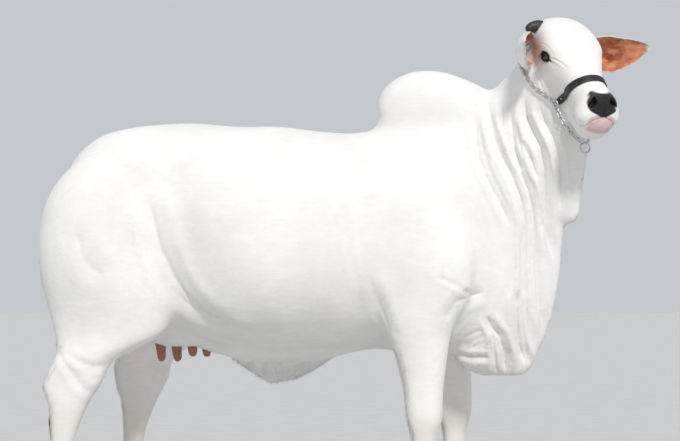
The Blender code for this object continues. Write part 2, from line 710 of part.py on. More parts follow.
def along_route(places, route):
    """How far each (x, z) place is from a route, and how much the fold has faded in there from its ends."""
    route = np.array(route)
    lengths = np.linalg.norm(np.diff(route, axis=0), axis=1)
    starts = np.concatenate([[0], np.cumsum(lengths)])
    best = np.full(len(places), np.inf)
    where = np.zeros(len(places))
    for a, b, length, start in zip(route, route[1:], lengths, starts):
        t = np.clip(((places - a) @ (b - a)) / length**2, 0, 1)
        away = np.linalg.norm(places - (a + t[:, None] * (b - a)), axis=1)
        nearer = away < best
        best[nearer] = away[nearer]
        where[nearer] = (start + t * length)[nearer] / starts[-1]
    fade = np.clip(np.minimum(where, 1 - where) / 0.18, 0, 1)
    return best, fade * fade * (3 - 2 * fade)


def sculpted(body):
    """Moves the surface in and out: muscles, bones, hollows and the folds of the hide."""
    mesh = body.data
    places, facing = vertex_rows(mesh, "co"), vertex_rows(mesh, "normal")
    rise = np.zeros(len(places))
    for x, y, z, rx, ry, rz, height in SWELLINGS:
        for side in (-1, 1) if y else (1,):
            rise += swelling(places, (x, side * y, z), (rx, ry, rz), height)
    local = (places - np.array(POLL)) @ np.array(HEAD)
    for u, v, w, ru, rv, rw, height in HEAD_SWELLINGS:
        for side in (-1, 1) if v else (1,):
            rise += swelling(local, (u, side * v, w), (ru, rv, rw), height)
    sideways = np.clip(np.abs(facing[:, 1]) * 1.6, 0, 1)
    for right, left, width, route in FOLDS:
        away, fade = along_route(places[:, [0, 2]], route)
        depth = np.where(facing[:, 1] < 0, right, left) * fade * sideways
        roll = np.exp(-(((away - 2.2 * width) / width) ** 2))
        rise += depth * (0.35 * roll - np.exp(-away / (0.8 * width)))
    places += facing * rise[:, None]
    mesh.vertices.foreach_set("co", places.reshape(-1))
    mesh.update()


def softened(body):
    """Eases the joins of the big forms, and leaves the head, the feet and the thin flaps sharper."""
    places = vertex_rows(body.data, "co")
    x, z = places[:, 0], places[:, 2]
    share = np.clip((0.88 - x) / 0.16, 0, 1) * np.clip((z - 0.72) / 0.12, 0, 1)
    share *= 1 - 0.75 * np.clip((z - 1.57) / 0.05, 0, 1) * np.clip((x - 0.22) / 0.05, 0, 1)
    share = np.maximum(share, 0.12)
    group = body.vertex_groups.new(name="soft")
    for index, weight in enumerate(share):
        group.add([index], float(weight), "REPLACE")
    ease = body.modifiers.new("ease", "SMOOTH")
    ease.factor = 0.5
    ease.iterations = 36
    ease.vertex_group = "soft"
    return applied(body)


def flesh():
    """Every form of the body, merged into one closed surface."""
    forms = [
        barrel(),
        hump(),
        neck(),
        wedge("dewlap", DEWLAP, 44),
        wedge("throat_flap", THROAT_FLAP, 24),
        navel_flap(),
        udder(),
        head_loft("skull", SKULL, 30),
        head_loft("jaw", JAW, 20),
        leg("hind_right", HIND_LEG, HIND_TRACK, -1, 0.0, 1.2),
        leg("hind_left", HIND_LEG, HIND_TRACK, 1, LEFT_HIND_STEP, 1.2),
        leg("fore_right", FORE_LEG, FORE_TRACK, -1, 0.0, 1.1),
        leg("fore_left", FORE_LEG, FORE_TRACK, 1, LEFT_FORE_STEP, 1.1),
    ]
    body = joined("body", forms)
    merge = body.modifiers.new("merge", "REMESH")
    merge.mode = "VOXEL"
    merge.voxel_size = BODY_VOXEL
    ease = body.modifiers.new("ease", "SMOOTH")
    ease.factor = 0.5
    ease.iterations = 5
    applied(body)
    softened(body)
    sculpted(body)
    places = vertex_rows(body.data, "co")
    folded = np.clip((places[:, 0] - 0.62) / 0.10, 0, 1)
    low = np.clip((0.86 - places[:, 2]) / 0.10, 0, 1) * np.clip((0.60 - places[:, 0]) / 0.10, 0, 1)
    group = body.vertex_groups.new(name="plain")
    for index, weight in enumerate(1 - 0.55 * folded - 0.40 * low):
        group.add([index], float(weight), "REPLACE")
    thin = body.modifiers.new("thin", "DECIMATE")
    thin.ratio = BODY_TRIANGLES / (2 * len(body.data.polygons))
    thin.vertex_group = "plain"
    return applied(body)


# The head's features


def ball(name, centre, radii, directions=None, around=14, rings=9):
    """A sphere, or an egg with its three radii along the directions."""
    bm = bmesh.new()
    bmesh.ops.create_uvsphere(bm, u_segments=around, v_segments=rings, radius=1.0)
    for v in bm.verts:
        local = Vector((v.co.x * radii[0], v.co.y * radii[1], v.co.z * radii[2]))
        v.co = centre + (directions @ local if directions else local)
    return finished(name, bm)


def mirrored(place, side):
    return Vector((place.x, side * place.y, place.z))


def eye_axes(side):
    """World directions of an eye: out along the gaze, forward along the lids, and up across them."""
    out = (HEAD @ mirrored(EYE_GAZE, side)).normalized()
    forward = (HEAD @ Vector((0.70, -0.48 * side, -0.18))).normalized()
    forward = (forward - out * forward.dot(out)).normalized()
    return out, forward, out.cross(forward).normalized() * side


def eye_centre(side):
    return head_point(*mirrored(EYE_SPOT, side))


def lid_opening(side):
    """The almond between the lids, as a cutter that runs out from the eyeball."""
    out, forward, up = eye_axes(side)
    centre = eye_centre(side)
    rings = []
    for reach, size in ((0.004, 0.85), (0.020, 1.0), (0.045, 1.15)):
        ring = []
        for k in range(16):
            a = 2 * math.pi * k / 16
            along = 0.0205 * math.cos(a)
            across = 0.0140 * math.copysign(abs(math.sin(a)) ** 1.15, math.sin(a))
            ring.append(centre + out * reach + (forward * along + up * (across - 0.10 * along)) * size)
        rings.append(ring)
    return lofted("opening", rings)


def with_eyes(head):
    for side in (-1, 1):
        out, forward, up = eye_axes(side)
        place = Matrix((forward, up, out)).transposed()
        r = EYE_RADIUS + LID
        lids = ball("lids", eye_centre(side), (r * 1.12, r * 1.0, r), place, 14, 9)
        combined(head, [lids], "UNION")
        socket = ball("socket", eye_centre(side), [EYE_RADIUS + GAP] * 3, place, 12, 8)
        combined(head, [socket], "DIFFERENCE")
        combined(head, [lid_opening(side)], "DIFFERENCE")
        largest(head)
    eyes = []
    for side, name in ((-1, "eye_right"), (1, "eye_left")):
        out, forward, up = eye_axes(side)
        place = Matrix((forward, up, out)).transposed()
        eyes.append(coloured(ball(name, eye_centre(side), [EYE_RADIUS] * 3, place, 12, 8), "eye"))
    return eyes


def with_nostrils(head):
    for side in (-1, 1):
        along = (HEAD @ Vector((0.80, 0.50 * side, 0.30))).normalized()
        down = (HEAD @ Vector((0.45, 0.10 * side, -0.90))).normalized()
        down = (down - along * down.dot(along)).normalized()
        place = Matrix((down, along.cross(down), along)).transposed()
        centre = head_point(0.454, 0.044 * side, -0.017)
        combined(head, [ball("nostril", centre, (0.0190, 0.0135, 0.032), place, 12, 7)], "DIFFERENCE")


MOUTH = (
    # the line of the mouth, from the front of the lips back along the left side
    (0.494, 0.000, -0.054),
    (0.494, 0.020, -0.057),
    (0.491, 0.038, -0.066),
    (0.487, 0.051, -0.082),
    (0.480, 0.061, -0.104),
    (0.464, 0.070, -0.120),
    (0.436, 0.074, -0.130),
    (0.400, 0.073, -0.137),
)


MOUTH_DEPTH = 0.0034


def with_mouth(head):
    """Cuts the line of the mouth as a groove that follows the lips."""
    tree = surface_tree(head)
    half = [head_point(*p) for p in MOUTH]
    other = [head_point(u, -v, w) for u, v, w in MOUTH[1:]]
    guide = list(reversed(other)) + half
    core = head_point(0.40, 0, -0.075)
    points = []
    for p in [Vector(q) for q in eased(guide, 21)]:
        hit = tree.ray_cast(p + (p - core).normalized() * 0.08, core - p)[0]
        points.append(hit or p)
    swell = [math.sin(math.pi * (i + 0.5) / len(points)) ** 0.5 for i in range(len(points))]
    radii = [MOUTH_DEPTH * (0.45 + 0.55 * share) for share in swell]
    combined(head, [tube("groove", points, radii, 6)], "DIFFERENCE")
    largest(head)


HORN = (
    # distance from the root, radius
    (-0.030, 0.0260),
    (0.000, 0.0250),
    (0.020, 0.0235),
    (0.038, 0.0205),
    (0.052, 0.0160),
    (0.060, 0.0100),
    (0.0635, 0.0030),
)


HORN_DROOP = 6.0  # metres down for each square metre of reach


def horn(name, side, head):
    root = head_point(0.018, 0.082 * side, -0.020)
    along = (HEAD @ Vector((-0.10, side, 0.10 if side < 0 else -0.30))).normalized()
    short = 1.0 if side < 0 else 0.75
    rows = eased(HORN, 8)
    points = [root + along * (reach * short) - UP * (HORN_DROOP * max(reach, 0) ** 2) for reach, _ in rows]
    made = tube(name, points, [r for _, r in rows], 12)
    return coloured(fitted_to(made, head), "horn")


EAR = (
    # share of the length, half width, depth of the cup, lift of the middle line
    (-0.08, 0.032, 0.030, 0.000),
    (0.06, 0.043, 0.038, 0.000),
    (0.18, 0.056, 0.042, -0.004),
    (0.32, 0.068, 0.038, -0.009),
    (0.46, 0.070, 0.031, -0.012),
    (0.60, 0.060, 0.021, -0.012),
    (0.74, 0.048, 0.016, -0.009),
    (0.87, 0.032, 0.010, -0.005),
    (0.96, 0.016, 0.005, 0.000),
    (1.00, 0.005, 0.002, 0.000),
)
EAR_LENGTH = 0.272
EARS = {
    # side: root, tip, the way the cup opens, all in the head's frame, and how deep the cup is
    -1: (Vector((0.050, -0.084, -0.112)), Vector((0.196, -0.252, 0.044)), Vector((0.46, 0.79, 0.40)), 1.35),
    1: (Vector((0.078, 0.090, -0.094)), Vector((0.172, 0.318, 0.036)), Vector((0.62, -0.50, 0.30)), 1.0),
}


def ear_axes(side):
    root, tip, opening, _ = EARS[side]
    root, tip = head_point(*root), head_point(*tip)
    along = (tip - root).normalized()
    mouth = HEAD @ opening
    mouth = (mouth - along * mouth.dot(along)).normalized()
    return root, along, mouth, mouth.cross(along).normalized() * side


def ear(name, side, head, neck_piece):
    """A leaf-shaped cup that narrows to a point."""
    root, along, mouth, up = ear_axes(side)
    deep = EARS[side][3]
    rings = []
    for share, half, cup, lift in eased(EAR, 12):
        centre = root + along * (EAR_LENGTH * share) + up * lift
        thick = 0.0065 - 0.0025 * max(share, 0)
        outer, inner = [], []
        for t in np.linspace(-1, 1, 9):
            across = up * (half * math.sin(t * math.pi / 2))
            bowl = deep * cup * (math.cos(t * math.pi / 2) ** 0.8 if abs(t) < 1 else 0)
            outer.append(centre + across - mouth * (bowl + thick * (1 - 0.6 * abs(t))))
            inner.append(centre + across * 0.97 - mouth * max(bowl - 0.1 * thick, 0))
        rings.append(outer + list(reversed(inner)))
    return coloured(fitted_to(fitted_to(lofted(name, rings), head), neck_piece), "ear_hide")


# Feet

CORONET = ((-0.062, 0.047), (0.058, 0.086))  # (ahead, up) of the heel and toe ends of the hoof's top edge
FOOT_SPOTS = {
    "hind_right": (-0.843, -HIND_TRACK),
    "hind_left": (-0.843 + LEFT_HIND_STEP, HIND_TRACK),
    "fore_right": (0.543, -FORE_TRACK),
    "fore_left": (0.543 + LEFT_FORE_STEP, FORE_TRACK),
}
CLAW_SPREAD = 0.005  # between the two claws of a foot


def coronet_height(ahead):
    (heel, low), (toe, high) = CORONET
    return low + (high - low) * (ahead - heel) / (toe - heel)


CUT_REACH = 0.2


def below_coronet(spot):
    """The space under the tilted plane at which a hoof begins."""
    x, y = spot
    outline = [(x + reach, coronet_height(reach)) for reach in (-CUT_REACH, CUT_REACH)]
    outline += [(x + CUT_REACH, -0.1), (x - CUT_REACH, -0.1)]
    return prism(outline, y - 0.12, y + 0.12)


def claw(name, spot, side, leg_width):
    """One claw of a cloven hoof: flat inside, rounded outside, a sloping front wall and a flat sole."""
    x, y = spot
    rings = []
    for share in (0.0, 0.05, 0.5, 1.0):
        heel, toe = -0.062 - 0.004 * (1 - share), 0.092 - 0.036 * share
        wide = leg_width - 0.002 + 0.005 * (1 - share)
        tuck = 0.003 if share == 0.0 else 0.0
        ring = []
        for k in range(12):
            a = 2 * math.pi * k / 12
            forward = math.copysign(abs(math.cos(a)) ** 0.85, math.cos(a))
            ahead = (heel + toe) / 2 + (toe - heel - 2 * tuck) / 2 * forward
            across = (wide - tuck) * max(math.sin(a), 0) ** 0.75 if math.sin(a) > 0 else 0.0
            pinch = 0.010 * max((ahead - 0.02) / 0.07, 0) if math.sin(a) <= 0 else 0.0
            height = share * (coronet_height(ahead) - GAP * 1.2)
            ring.append(Vector((x + ahead, y + side * (CLAW_SPREAD / 2 + pinch + across), height)))
        rings.append(ring)
    return coloured(lofted(name, rings), "hoof")


DEWCLAW = (
    # ahead of the place it grows from, above it, radius
    (0.022, 0.010, 0.015),
    (0.000, 0.000, 0.015),
    (-0.010, -0.018, 0.012),
    (-0.012, -0.030, 0.006),
)


def dewclaw(name, x, y, z, leg):
    points = [Vector((x + ahead, y, z + up)) for ahead, up, _ in DEWCLAW]
    made = tube(name, points, [radius for _, _, radius in DEWCLAW], 6)
    return coloured(fitted_to(made, leg), "hoof")


def foot(leg, name, leg_width, fetlock_back):
    spot = FOOT_SPOTS[name]
    outward = -1 if name.endswith("right") else 1
    combined(leg, [below_coronet(spot)], "DIFFERENCE")
    largest(leg)
    for place, side in (("outer", outward), ("inner", -outward)):
        claw(f"hoof_{name}_{place}", spot, side, leg_width)
        dewclaw(f"dewclaw_{name}_{place}", spot[0] + fetlock_back, spot[1] + side * 0.024, 0.142, leg)


# Tail, teats

TAIL = (
    # x, z, radius
    (-0.805, 1.470, 0.038),
    (-0.852, 1.448, 0.038),
    (-0.894, 1.412, 0.036),
    (-0.932, 1.362, 0.034),
    (-0.962, 1.300, 0.031),
    (-0.983, 1.220, 0.027),
    (-0.992, 1.120, 0.023),
    (-0.992, 1.020, 0.020),
    (-0.986, 0.920, 0.018),
    (-0.975, 0.820, 0.016),
    (-0.963, 0.720, 0.015),
    (-0.954, 0.620, 0.014),
)
TAIL_PARTING = 1.040  # height at which the tail is divided
TAIL_END = 0.645  # height at which the switch begins


def across_tail(low, high):
    """A block that holds the tail between two heights."""
    return prism(((-1.20, low), (-0.75, low), (-0.75, high), (-1.20, high)), -0.2, 0.2)


def tail(torso):
    rows = eased(TAIL, 22)
    upper = tube("tail_upper", [Vector((x, 0, z)) for x, z, _ in rows], [r for _, _, r in rows], 10)
    coloured(parted(upper, across_tail(TAIL_END, TAIL_PARTING), "tail_lower"), "hide")
    coloured(fitted_to(upper, torso), "hide")


SWITCH_BOTTOM = 0.235
SWITCH_LOCKS = 9
LOCK_FLATNESS = 0.42
SWITCH_CORE = (
    # below the tail's end, radius
    (0.000, 0.013),
    (0.050, 0.022),
    (0.120, 0.032),
    (0.200, 0.034),
    (0.290, 0.026),
    (0.350, 0.010),
)


def lock(start, end, bulge, width, turn):
    """A flat tapered lock of hair that bends outward on its way down."""
    rings = []
    for i in range(6):
        t = i / 5
        centre = start.lerp(end, t) + bulge * math.sin(math.pi * t) * 0.5
        size = width * (0.55 + 0.9 * t) if t < 0.5 else width * max(1.9 * (1 - t), 0.06) * 1.05
        side = Vector((math.cos(turn), math.sin(turn), 0))
        thick = size * LOCK_FLATNESS
        rings.append(oval(centre, side, UP.cross(side), size, thick, thick, (2, 2), 6))
    return lofted("lock", rings)


def switch():
    """The tuft at the tail's end: a core with locks round it, sunk well in at their roots."""
    draw = np.random.default_rng(7)
    start = Vector((TAIL[-1][0], 0, TAIL_END - GAP))
    middles = [start - UP * down for down, _ in SWITCH_CORE]
    core = tube("tail_switch", middles, [radius for _, radius in SWITCH_CORE], 10)
    locks = []
    for k in range(SWITCH_LOCKS):
        around = 2 * math.pi * (k * 0.382 % 1)
        out = Vector((math.cos(around), math.sin(around), 0))
        down = 0.05 + 0.17 * k / SWITCH_LOCKS
        root = start - Vector((0, 0, down)) + out * 0.010
        bottom = SWITCH_BOTTOM + draw.uniform(0.0, 0.11)
        tip = Vector((start.x, 0, bottom)) + out * draw.uniform(0.008, 0.040)
        bulge = out * draw.uniform(0.030, 0.055)
        locks.append(lock(root, tip, bulge, draw.uniform(0.014, 0.020), around + math.pi / 2))
    return coloured(largest(combined(core, locks, "UNION")), "switch_hair")


TEATS = {
    # x, y, tip height
    "teat_rear_right": (-0.543, -0.027, 0.645),
    "teat_rear_left": (-0.490, 0.030, 0.643),
    "teat_front_right": (-0.420, -0.023, 0.664),
    "teat_front_left": (-0.372, 0.028, 0.662),
}
TEAT_ROWS = (
    # above the tip, radius
    (0.085, 0.0215),
    (0.060, 0.0205),
    (0.040, 0.0190),
    (0.018, 0.0165),
    (0.005, 0.0120),
    (0.000, 0.0050),
)


def teat(name, spot, udder_piece):
    x, y, tip = spot
    lean = Vector((0.10, 0.10 * (1 if y > 0 else -1), 0))
    points = [Vector((x, y, tip + up)) - lean * up for up, _ in TEAT_ROWS]
    made = tube(name, points, [r for _, r in TEAT_ROWS], 10)
    return coloured(fitted_to(made, udder_piece), "teat_skin")


# The halter

STRAP_WIDTH = 0.030
STRAP_THICK = 0.0036
STRAP_CORE = Vector((0.330, 0, -0.062))
STRAP_LEAN = 0.17  # how far the strap leans forward over the nose
STRAP_SWEEP = 0.25  # how far its ends sweep back
STRAP_TURN = 139  # degrees from the top of the nose to each end
STRAP_GAP = 0.0022
FITTINGS = {
    # side: middle of the cheek ring and the way it faces, both in the head's frame
    -1: (Vector((0.293, -0.069, -0.167)), Vector((0.20, -0.93, -0.30))),
    1: (Vector((0.296, 0.090, -0.150)), Vector((0.30, 0.75, 0.60))),
}
FITTING_RADIUS = 0.0185
FITTING_WIRE = 0.0030
LEAD_RING = Vector((1.108, -0.292, 1.452))
LEAD_RING_RADIUS = 0.0190
LEAD_RING_AXIS = Vector((0.42, -0.90, 0.10))
LEAD_RING_WIRE = 0.0032
LINK_PITCH = 0.050
LINK_WIDTH = 0.0170
LINK_WIRE = 0.0028


def strap_aim(turn):
    """The way out from the strap's core at a turn from the top of the nose, and the way across it."""
    back = STRAP_SWEEP * (1 - math.cos(turn)) ** 2 / 4
    aim = Vector((STRAP_LEAN * math.cos(turn) - back, math.sin(turn), math.cos(turn))).normalized()
    return aim, (AHEAD - aim * AHEAD.dot(aim)).normalized()


def noseband(head):
    """A flat strap over the nose, from one cheek ring to the other."""
    tree = surface_tree(head)
    under, over = STRAP_GAP, STRAP_GAP + STRAP_THICK
    rings = []
    for degrees in np.linspace(-STRAP_TURN, STRAP_TURN, 29):
        aim, along = strap_aim(math.radians(degrees))
        starts = [STRAP_CORE + along * (edge * STRAP_WIDTH) for edge in (-0.5, 0.5)]
        hits = [tree.ray_cast(head_point(*start), HEAD @ aim)[3] for start in starts]
        ring = []
        for start, hit, levels in zip(starts, hits, ((under, over), (over, under))):
            near = 0.5 * hit + 0.5 * max(hits)
            ring.extend(head_point(*(start + aim * (near + level))) for level in levels)
        rings.append(ring)
    return coloured(lofted("noseband", rings), "leather")


def hoop(name, centre, axis, radius, wire, around=14, sides=5):
    """A round wire ring."""
    axis = axis.normalized()
    guide = UP if abs(axis.z) < 0.9 else AHEAD
    a = axis.cross(guide).normalized()
    b = axis.cross(a)
    turns = np.linspace(0, 2 * math.pi, around, endpoint=False)
    loop = [centre + (a * math.cos(t) + b * math.sin(t)) * radius for t in turns]
    return wire_loop(name, loop, axis, wire, sides)


def wire_loop(name, loop, axis, wire, sides=4):
    """A closed loop of round wire in the plane across axis."""
    bm = bmesh.new()
    middle = sum(loop, Vector()) / len(loop)
    rings = []
    for i, p in enumerate(loop):
        ahead = (loop[(i + 1) % len(loop)] - loop[i - 1]).normalized()
        out = ahead.cross(axis).normalized()
        if out.dot(p - middle) < 0:
            out = -out
        rings.append([
            bm.verts.new(p + (out * math.cos(t) + axis * math.sin(t)) * wire)
            for t in np.linspace(0, 2 * math.pi, sides, endpoint=False) + math.pi / sides
        ])
    for i in range(len(rings)):
        a, b = rings[i], rings[(i + 1) % len(rings)]
        for k in range(sides):
            bm.faces.new((a[k], a[(k + 1) % sides], b[(k + 1) % sides], b[k]))
    return finished(name, bm)


def chain(name, route, out_of):
    """Links along a route, each welded to the next, every other one turned a quarter turn."""
    lengths = [(b - a).length for a, b in zip(route, route[1:])]
    total = sum(lengths)
    count = max(2, round(total / LINK_PITCH))

    def at(distance):
        distance = min(max(distance, 0), total - 1e-6)
        for a, b, length in zip(route, route[1:], lengths):
            if distance <= length:
                return a.lerp(b, distance / length)
            distance -= length
        return route[-1]

    links = []
    for i in range(count):
        start, end = at(total * i / count), at(total * (i + 1) / count)
        middle, along = (start + end) / 2, (end - start).normalized()
        out = out_of(middle)
        out = (out - along * out.dot(along)).normalized()
        across = along.cross(out)
        flat = (across + out).normalized() if i % 2 else (across - out).normalized()
        reach = (end - start).length / 2 + LINK_WIRE * 0.45
        shape = ((1, 0), (0.62, 1), (-0.62, 1), (-1, 0), (-0.62, -1), (0.62, -1))
        loop = [middle + along * (a * reach) + flat * (b * LINK_WIDTH / 2) for a, b in shape]
        links.append(wire_loop("link", loop, along.cross(flat), LINK_WIRE, 3))
    made = joined(name, links[0::2])
    others = joined("others", links[1::2])
    return coloured(largest(combined(made, [others], "UNION", "MANIFOLD")), "steel")


CHEEK_ROUTE = (
    # from the left cheek ring back under the jaw's angle, up behind the ear and on to the nape
    (0.255, 0.084, -0.174),
    (0.215, 0.098, -0.174),
    (0.170, 0.114, -0.170),
    (0.125, 0.126, -0.168),
    (0.080, 0.132, -0.172),
    (0.035, 0.134, -0.184),
    (-0.015, 0.128, -0.180),
    (-0.055, 0.110, -0.145),
    (-0.082, 0.082, -0.095),
    (-0.094, 0.044, -0.056),
    (-0.098, 0.000, -0.042),
)
CHAIN_CLEARANCE = 0.0200
CHIN_SAG = 0.020


def on_surface(tree, place):
    """The point over the surface where a line from the head's middle line passes through place."""
    core = head_point(max(place.x * 0.9, -0.02), 0, -0.10 + 0.1 * max(place.x, 0))
    target = head_point(*place)
    aim = (target - core).normalized()
    hit = tree.ray_cast(core + aim * 0.25, -aim)[0]
    return hit + aim * CHAIN_CLEARANCE if hit else target


def kept_off(tree, route):
    """A route evened out, with every point moved out until it clears the surface."""
    for _ in range(8):
        middle = [(a + 2 * b + c) / 4 for a, b, c in zip(route, route[1:], route[2:])]
        route = [route[0], *middle, route[-1]]
        for i, p in enumerate(route):
            near, facing, _, away = tree.find_nearest(p)
            if (p - near).dot(facing) < 0 or away < CHAIN_CLEARANCE:
                route[i] = near + facing * CHAIN_CLEARANCE
    return route


def halter(head, tree):
    """The strap round the nose, and the chains laid over the surface that the tree holds."""
    noseband(head)
    middle = head_point(0.15, 0, -0.10)

    def outward(p):
        return (p - middle).normalized()

    for side, word in ((-1, "right"), (1, "left")):
        spot, facing = FITTINGS[side]
        centre = head_point(*spot)
        facing = (HEAD @ facing).normalized()
        ring = coloured(hoop(f"cheek_ring_{word}", centre, facing, FITTING_RADIUS, FITTING_WIRE), "steel")
        start = centre - HEAD.col[0] * 0.029 + facing * 0.006
        route = [start] + [on_surface(tree, mirrored(Vector(p), side)) for p in eased(CHEEK_ROUTE, 26)]
        route = kept_off(tree, route)
        route[-1] += (route[-2] - route[-1]).normalized() * 0.004
        chain(f"cheek_chain_{word}", route, outward)
        low = LEAD_RING + UP * (LEAD_RING_RADIUS + 0.010) + HEAD.col[1] * (0.014 * side)
        top = centre + HEAD @ Vector((0.023, -0.002 * side, -0.021))
        sag = [top.lerp(low, t) - UP * (CHIN_SAG * math.sin(math.pi * t)) for t in np.linspace(0, 1, 9)]
        chain(f"chin_chain_{word}", sag, lambda p: Vector((0, -1, 0)))
    coloured(hoop("lead_ring", LEAD_RING, LEAD_RING_AXIS, LEAD_RING_RADIUS, LEAD_RING_WIRE), "steel")


# Where the body is parted

HEAD_OUTLINE = (
    (-0.066, 0.140), (0.070, -0.262), (0.200, -0.262), (0.460, -0.205), (0.640, -0.205), (0.640, 0.140),
)
DEWLAP_OUTLINE = (
    (1.300, 1.580), (1.085, 1.535), (1.030, 1.440), (0.965, 1.330), (0.900, 1.220), (0.830, 1.100),
    (0.770, 0.980), (0.710, 0.860), (0.662, 0.780), (0.640, 0.700), (0.630, 0.500), (1.300, 0.500),
)
NECK_OUTLINE = ((0.778, 1.950), (0.722, 1.500), (0.735, 1.150), (1.400, 1.150), (1.400, 1.950))
HUMP_OUTLINE = ((0.200, 1.562), (0.800, 1.700), (0.800, 1.950), (0.200, 1.950))
FORE_OUTLINE = ((0.300, -0.100), (0.300, 0.720), (0.350, 0.800), (0.660, 0.850), (0.720, -0.100))
HIND_OUTLINE = (
    (-1.100, 0.900), (-0.780, 0.900), (-0.600, 0.850), (-0.440, 0.770), (-0.400, 0.660), (-0.400, -0.100),
    (-1.100, -0.100),
)
FLAP_OUTLINE = (
    (-0.350, 0.674), (-0.150, 0.662), (0.050, 0.664), (0.160, 0.676), (0.160, 0.500), (-0.350, 0.500),
)
UDDER_OUTLINE = ((-0.670, 0.748), (-0.310, 0.748), (-0.310, 0.600), (-0.670, 0.600))


def parts_of(body):
    """The body's pieces by name; what stays is the torso."""
    pieces = {}
    pieces["head"] = parted(body, prism(HEAD_OUTLINE, -0.3, 0.3, head_point), "head")
    for word, side in (("right", -1), ("left", 1)):
        ends = (-0.60, -0.105) if side < 0 else (0.105, 0.60)
        pieces[f"leg_fore_{word}"] = parted(body, prism(FORE_OUTLINE, *ends), f"leg_fore_{word}")
        ends = (-0.60, -0.045) if side < 0 else (0.045, 0.60)
        pieces[f"leg_hind_{word}"] = parted(body, prism(HIND_OUTLINE, *ends), f"leg_hind_{word}")
    pieces["dewlap"] = parted(body, prism(DEWLAP_OUTLINE, -0.5, 0.5), "dewlap")
    pieces["neck"] = parted(body, prism(NECK_OUTLINE, -0.6, 0.5), "neck")
    pieces["hump"] = parted(body, prism(HUMP_OUTLINE, -0.5, 0.5), "hump")
    pieces["navel_flap"] = parted(body, prism(FLAP_OUTLINE, -0.2, 0.2), "navel_flap")
    pieces["udder"] = parted(body, prism(UDDER_OUTLINE, -0.12, 0.12), "udder")
    body.name = "torso"
    pieces["torso"] = body
    return pieces


def main():
    for obj in list(bpy.data.objects):
        bpy.data.objects.remove(obj)
    body = flesh()
    surface = surface_tree(body)
    pieces = parts_of(body)
    head = pieces["head"]
    with_eyes(head)
    with_nostrils(head)
    with_mouth(head)
    for word, side in (("right", -1), ("left", 1)):
        horn(f"horn_{word}", side, head)
        ear(f"ear_{word}", side, head, pieces["neck"])
        foot(pieces[f"leg_fore_{word}"], f"fore_{word}", 0.056, -0.100)
        foot(pieces[f"leg_hind_{word}"], f"hind_{word}", 0.053, -0.098)
    tail(pieces["torso"])
    switch()
    for name, spot in TEATS.items():
        teat(name, spot, pieces["udder"])
    halter(head, surface)
    for name, piece in pieces.items():
        coloured(piece, "hide")
    for obj in bpy.context.scene.objects:
        for vertex in obj.data.vertices:
            vertex.co += FRAME_SHIFT
        obj.data.shade_smooth()
        obj.data.set_sharp_from_angle(angle=SHARP_ANGLE)


if __name__ == "__main__":
    main()
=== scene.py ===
"""The looks of a white zebu cow in a show halter: skin, short coat, eyes, horn, hooves, strap and chains.

Everything is built from the same named forms as the solids, in their design frame. SHIFT then moves it to
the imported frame. Metres, +Z up, +X towards the head, +Y to the cow's left.
"""

import math

import bmesh
import bpy
import numpy as np
from mathutils import Matrix, Vector, noise
from mathutils.bvhtree import BVHTree


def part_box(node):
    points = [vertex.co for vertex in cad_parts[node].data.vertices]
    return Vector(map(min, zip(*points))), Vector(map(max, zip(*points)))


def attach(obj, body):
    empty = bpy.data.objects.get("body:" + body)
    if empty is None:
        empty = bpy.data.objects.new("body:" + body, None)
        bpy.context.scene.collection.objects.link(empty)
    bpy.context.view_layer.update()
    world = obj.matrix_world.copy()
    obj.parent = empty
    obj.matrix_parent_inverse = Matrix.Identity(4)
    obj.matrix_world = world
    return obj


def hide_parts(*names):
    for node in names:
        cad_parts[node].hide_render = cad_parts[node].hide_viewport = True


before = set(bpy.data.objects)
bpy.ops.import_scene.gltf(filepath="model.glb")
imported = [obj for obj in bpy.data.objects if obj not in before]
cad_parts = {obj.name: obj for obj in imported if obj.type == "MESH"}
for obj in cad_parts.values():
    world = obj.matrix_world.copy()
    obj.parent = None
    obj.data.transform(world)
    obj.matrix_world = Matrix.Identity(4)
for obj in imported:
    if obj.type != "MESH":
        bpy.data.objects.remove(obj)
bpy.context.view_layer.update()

# Driving sizes
SKIN_VOXEL = 0.008
CAD_VOXEL = 0.011  # the solids' own, which their easing is counted in
COAT_DEPTH = 0.003  # the skin lies this far inside the solids
FACE_COAT_DEPTH = 0.0012
AHEAD = Vector((1, 0, 0))
ACROSS = Vector((0, 1, 0))
UP = Vector((0, 0, 1))

# The head's own frame: u runs from the poll to the muzzle, v to the cow's left, w out of the forehead
POLL = Vector((1.012, -0.135, 1.945))
HEAD_YAW = math.radians(57)  # turned to the cow's right
HEAD_PITCH = math.radians(46)  # muzzle below the level

HIND_TRACK = 0.255  # half the distance between the hind legs
FORE_TRACK = 0.225
LEFT_HIND_STEP = 0.165
LEFT_FORE_STEP = 0.085
EYE_RADIUS = 0.0205
EYE_SPOT = Vector((0.164, 0.1055, -0.044))  # u, v, w of the left eyeball's centre
EYE_GAZE = Vector((0.36, 0.90, 0.24)).normalized()  # the way the left eye looks, in the head's frame
LID = 0.0050  # how far the lids stand over the eyeball
LID_REACH = 0.0215  # half the length of the opening between the lids
LID_HEIGHT = 0.0142  # half its height
LID_POINT = 1.2  # how pointed its corners are
LID_SLANT = 0.12  # how far its front end sinks
SIDES = ((-1, "right"), (1, "left"))


def head_axes():
    """The head's u, v and w directions as the columns of a matrix."""
    u = Vector((
        math.cos(HEAD_PITCH) * math.cos(HEAD_YAW),
        -math.cos(HEAD_PITCH) * math.sin(HEAD_YAW),
        -math.sin(HEAD_PITCH),
    ))
    v = Vector((math.sin(HEAD_YAW), math.cos(HEAD_YAW), 0.0))
    w = u.cross(v)
    return Matrix((u, v, w)).transposed()


HEAD = head_axes()


def head_point(u, v, w):
    return POLL + HEAD @ Vector((u, v, w))


# Small modelling tools


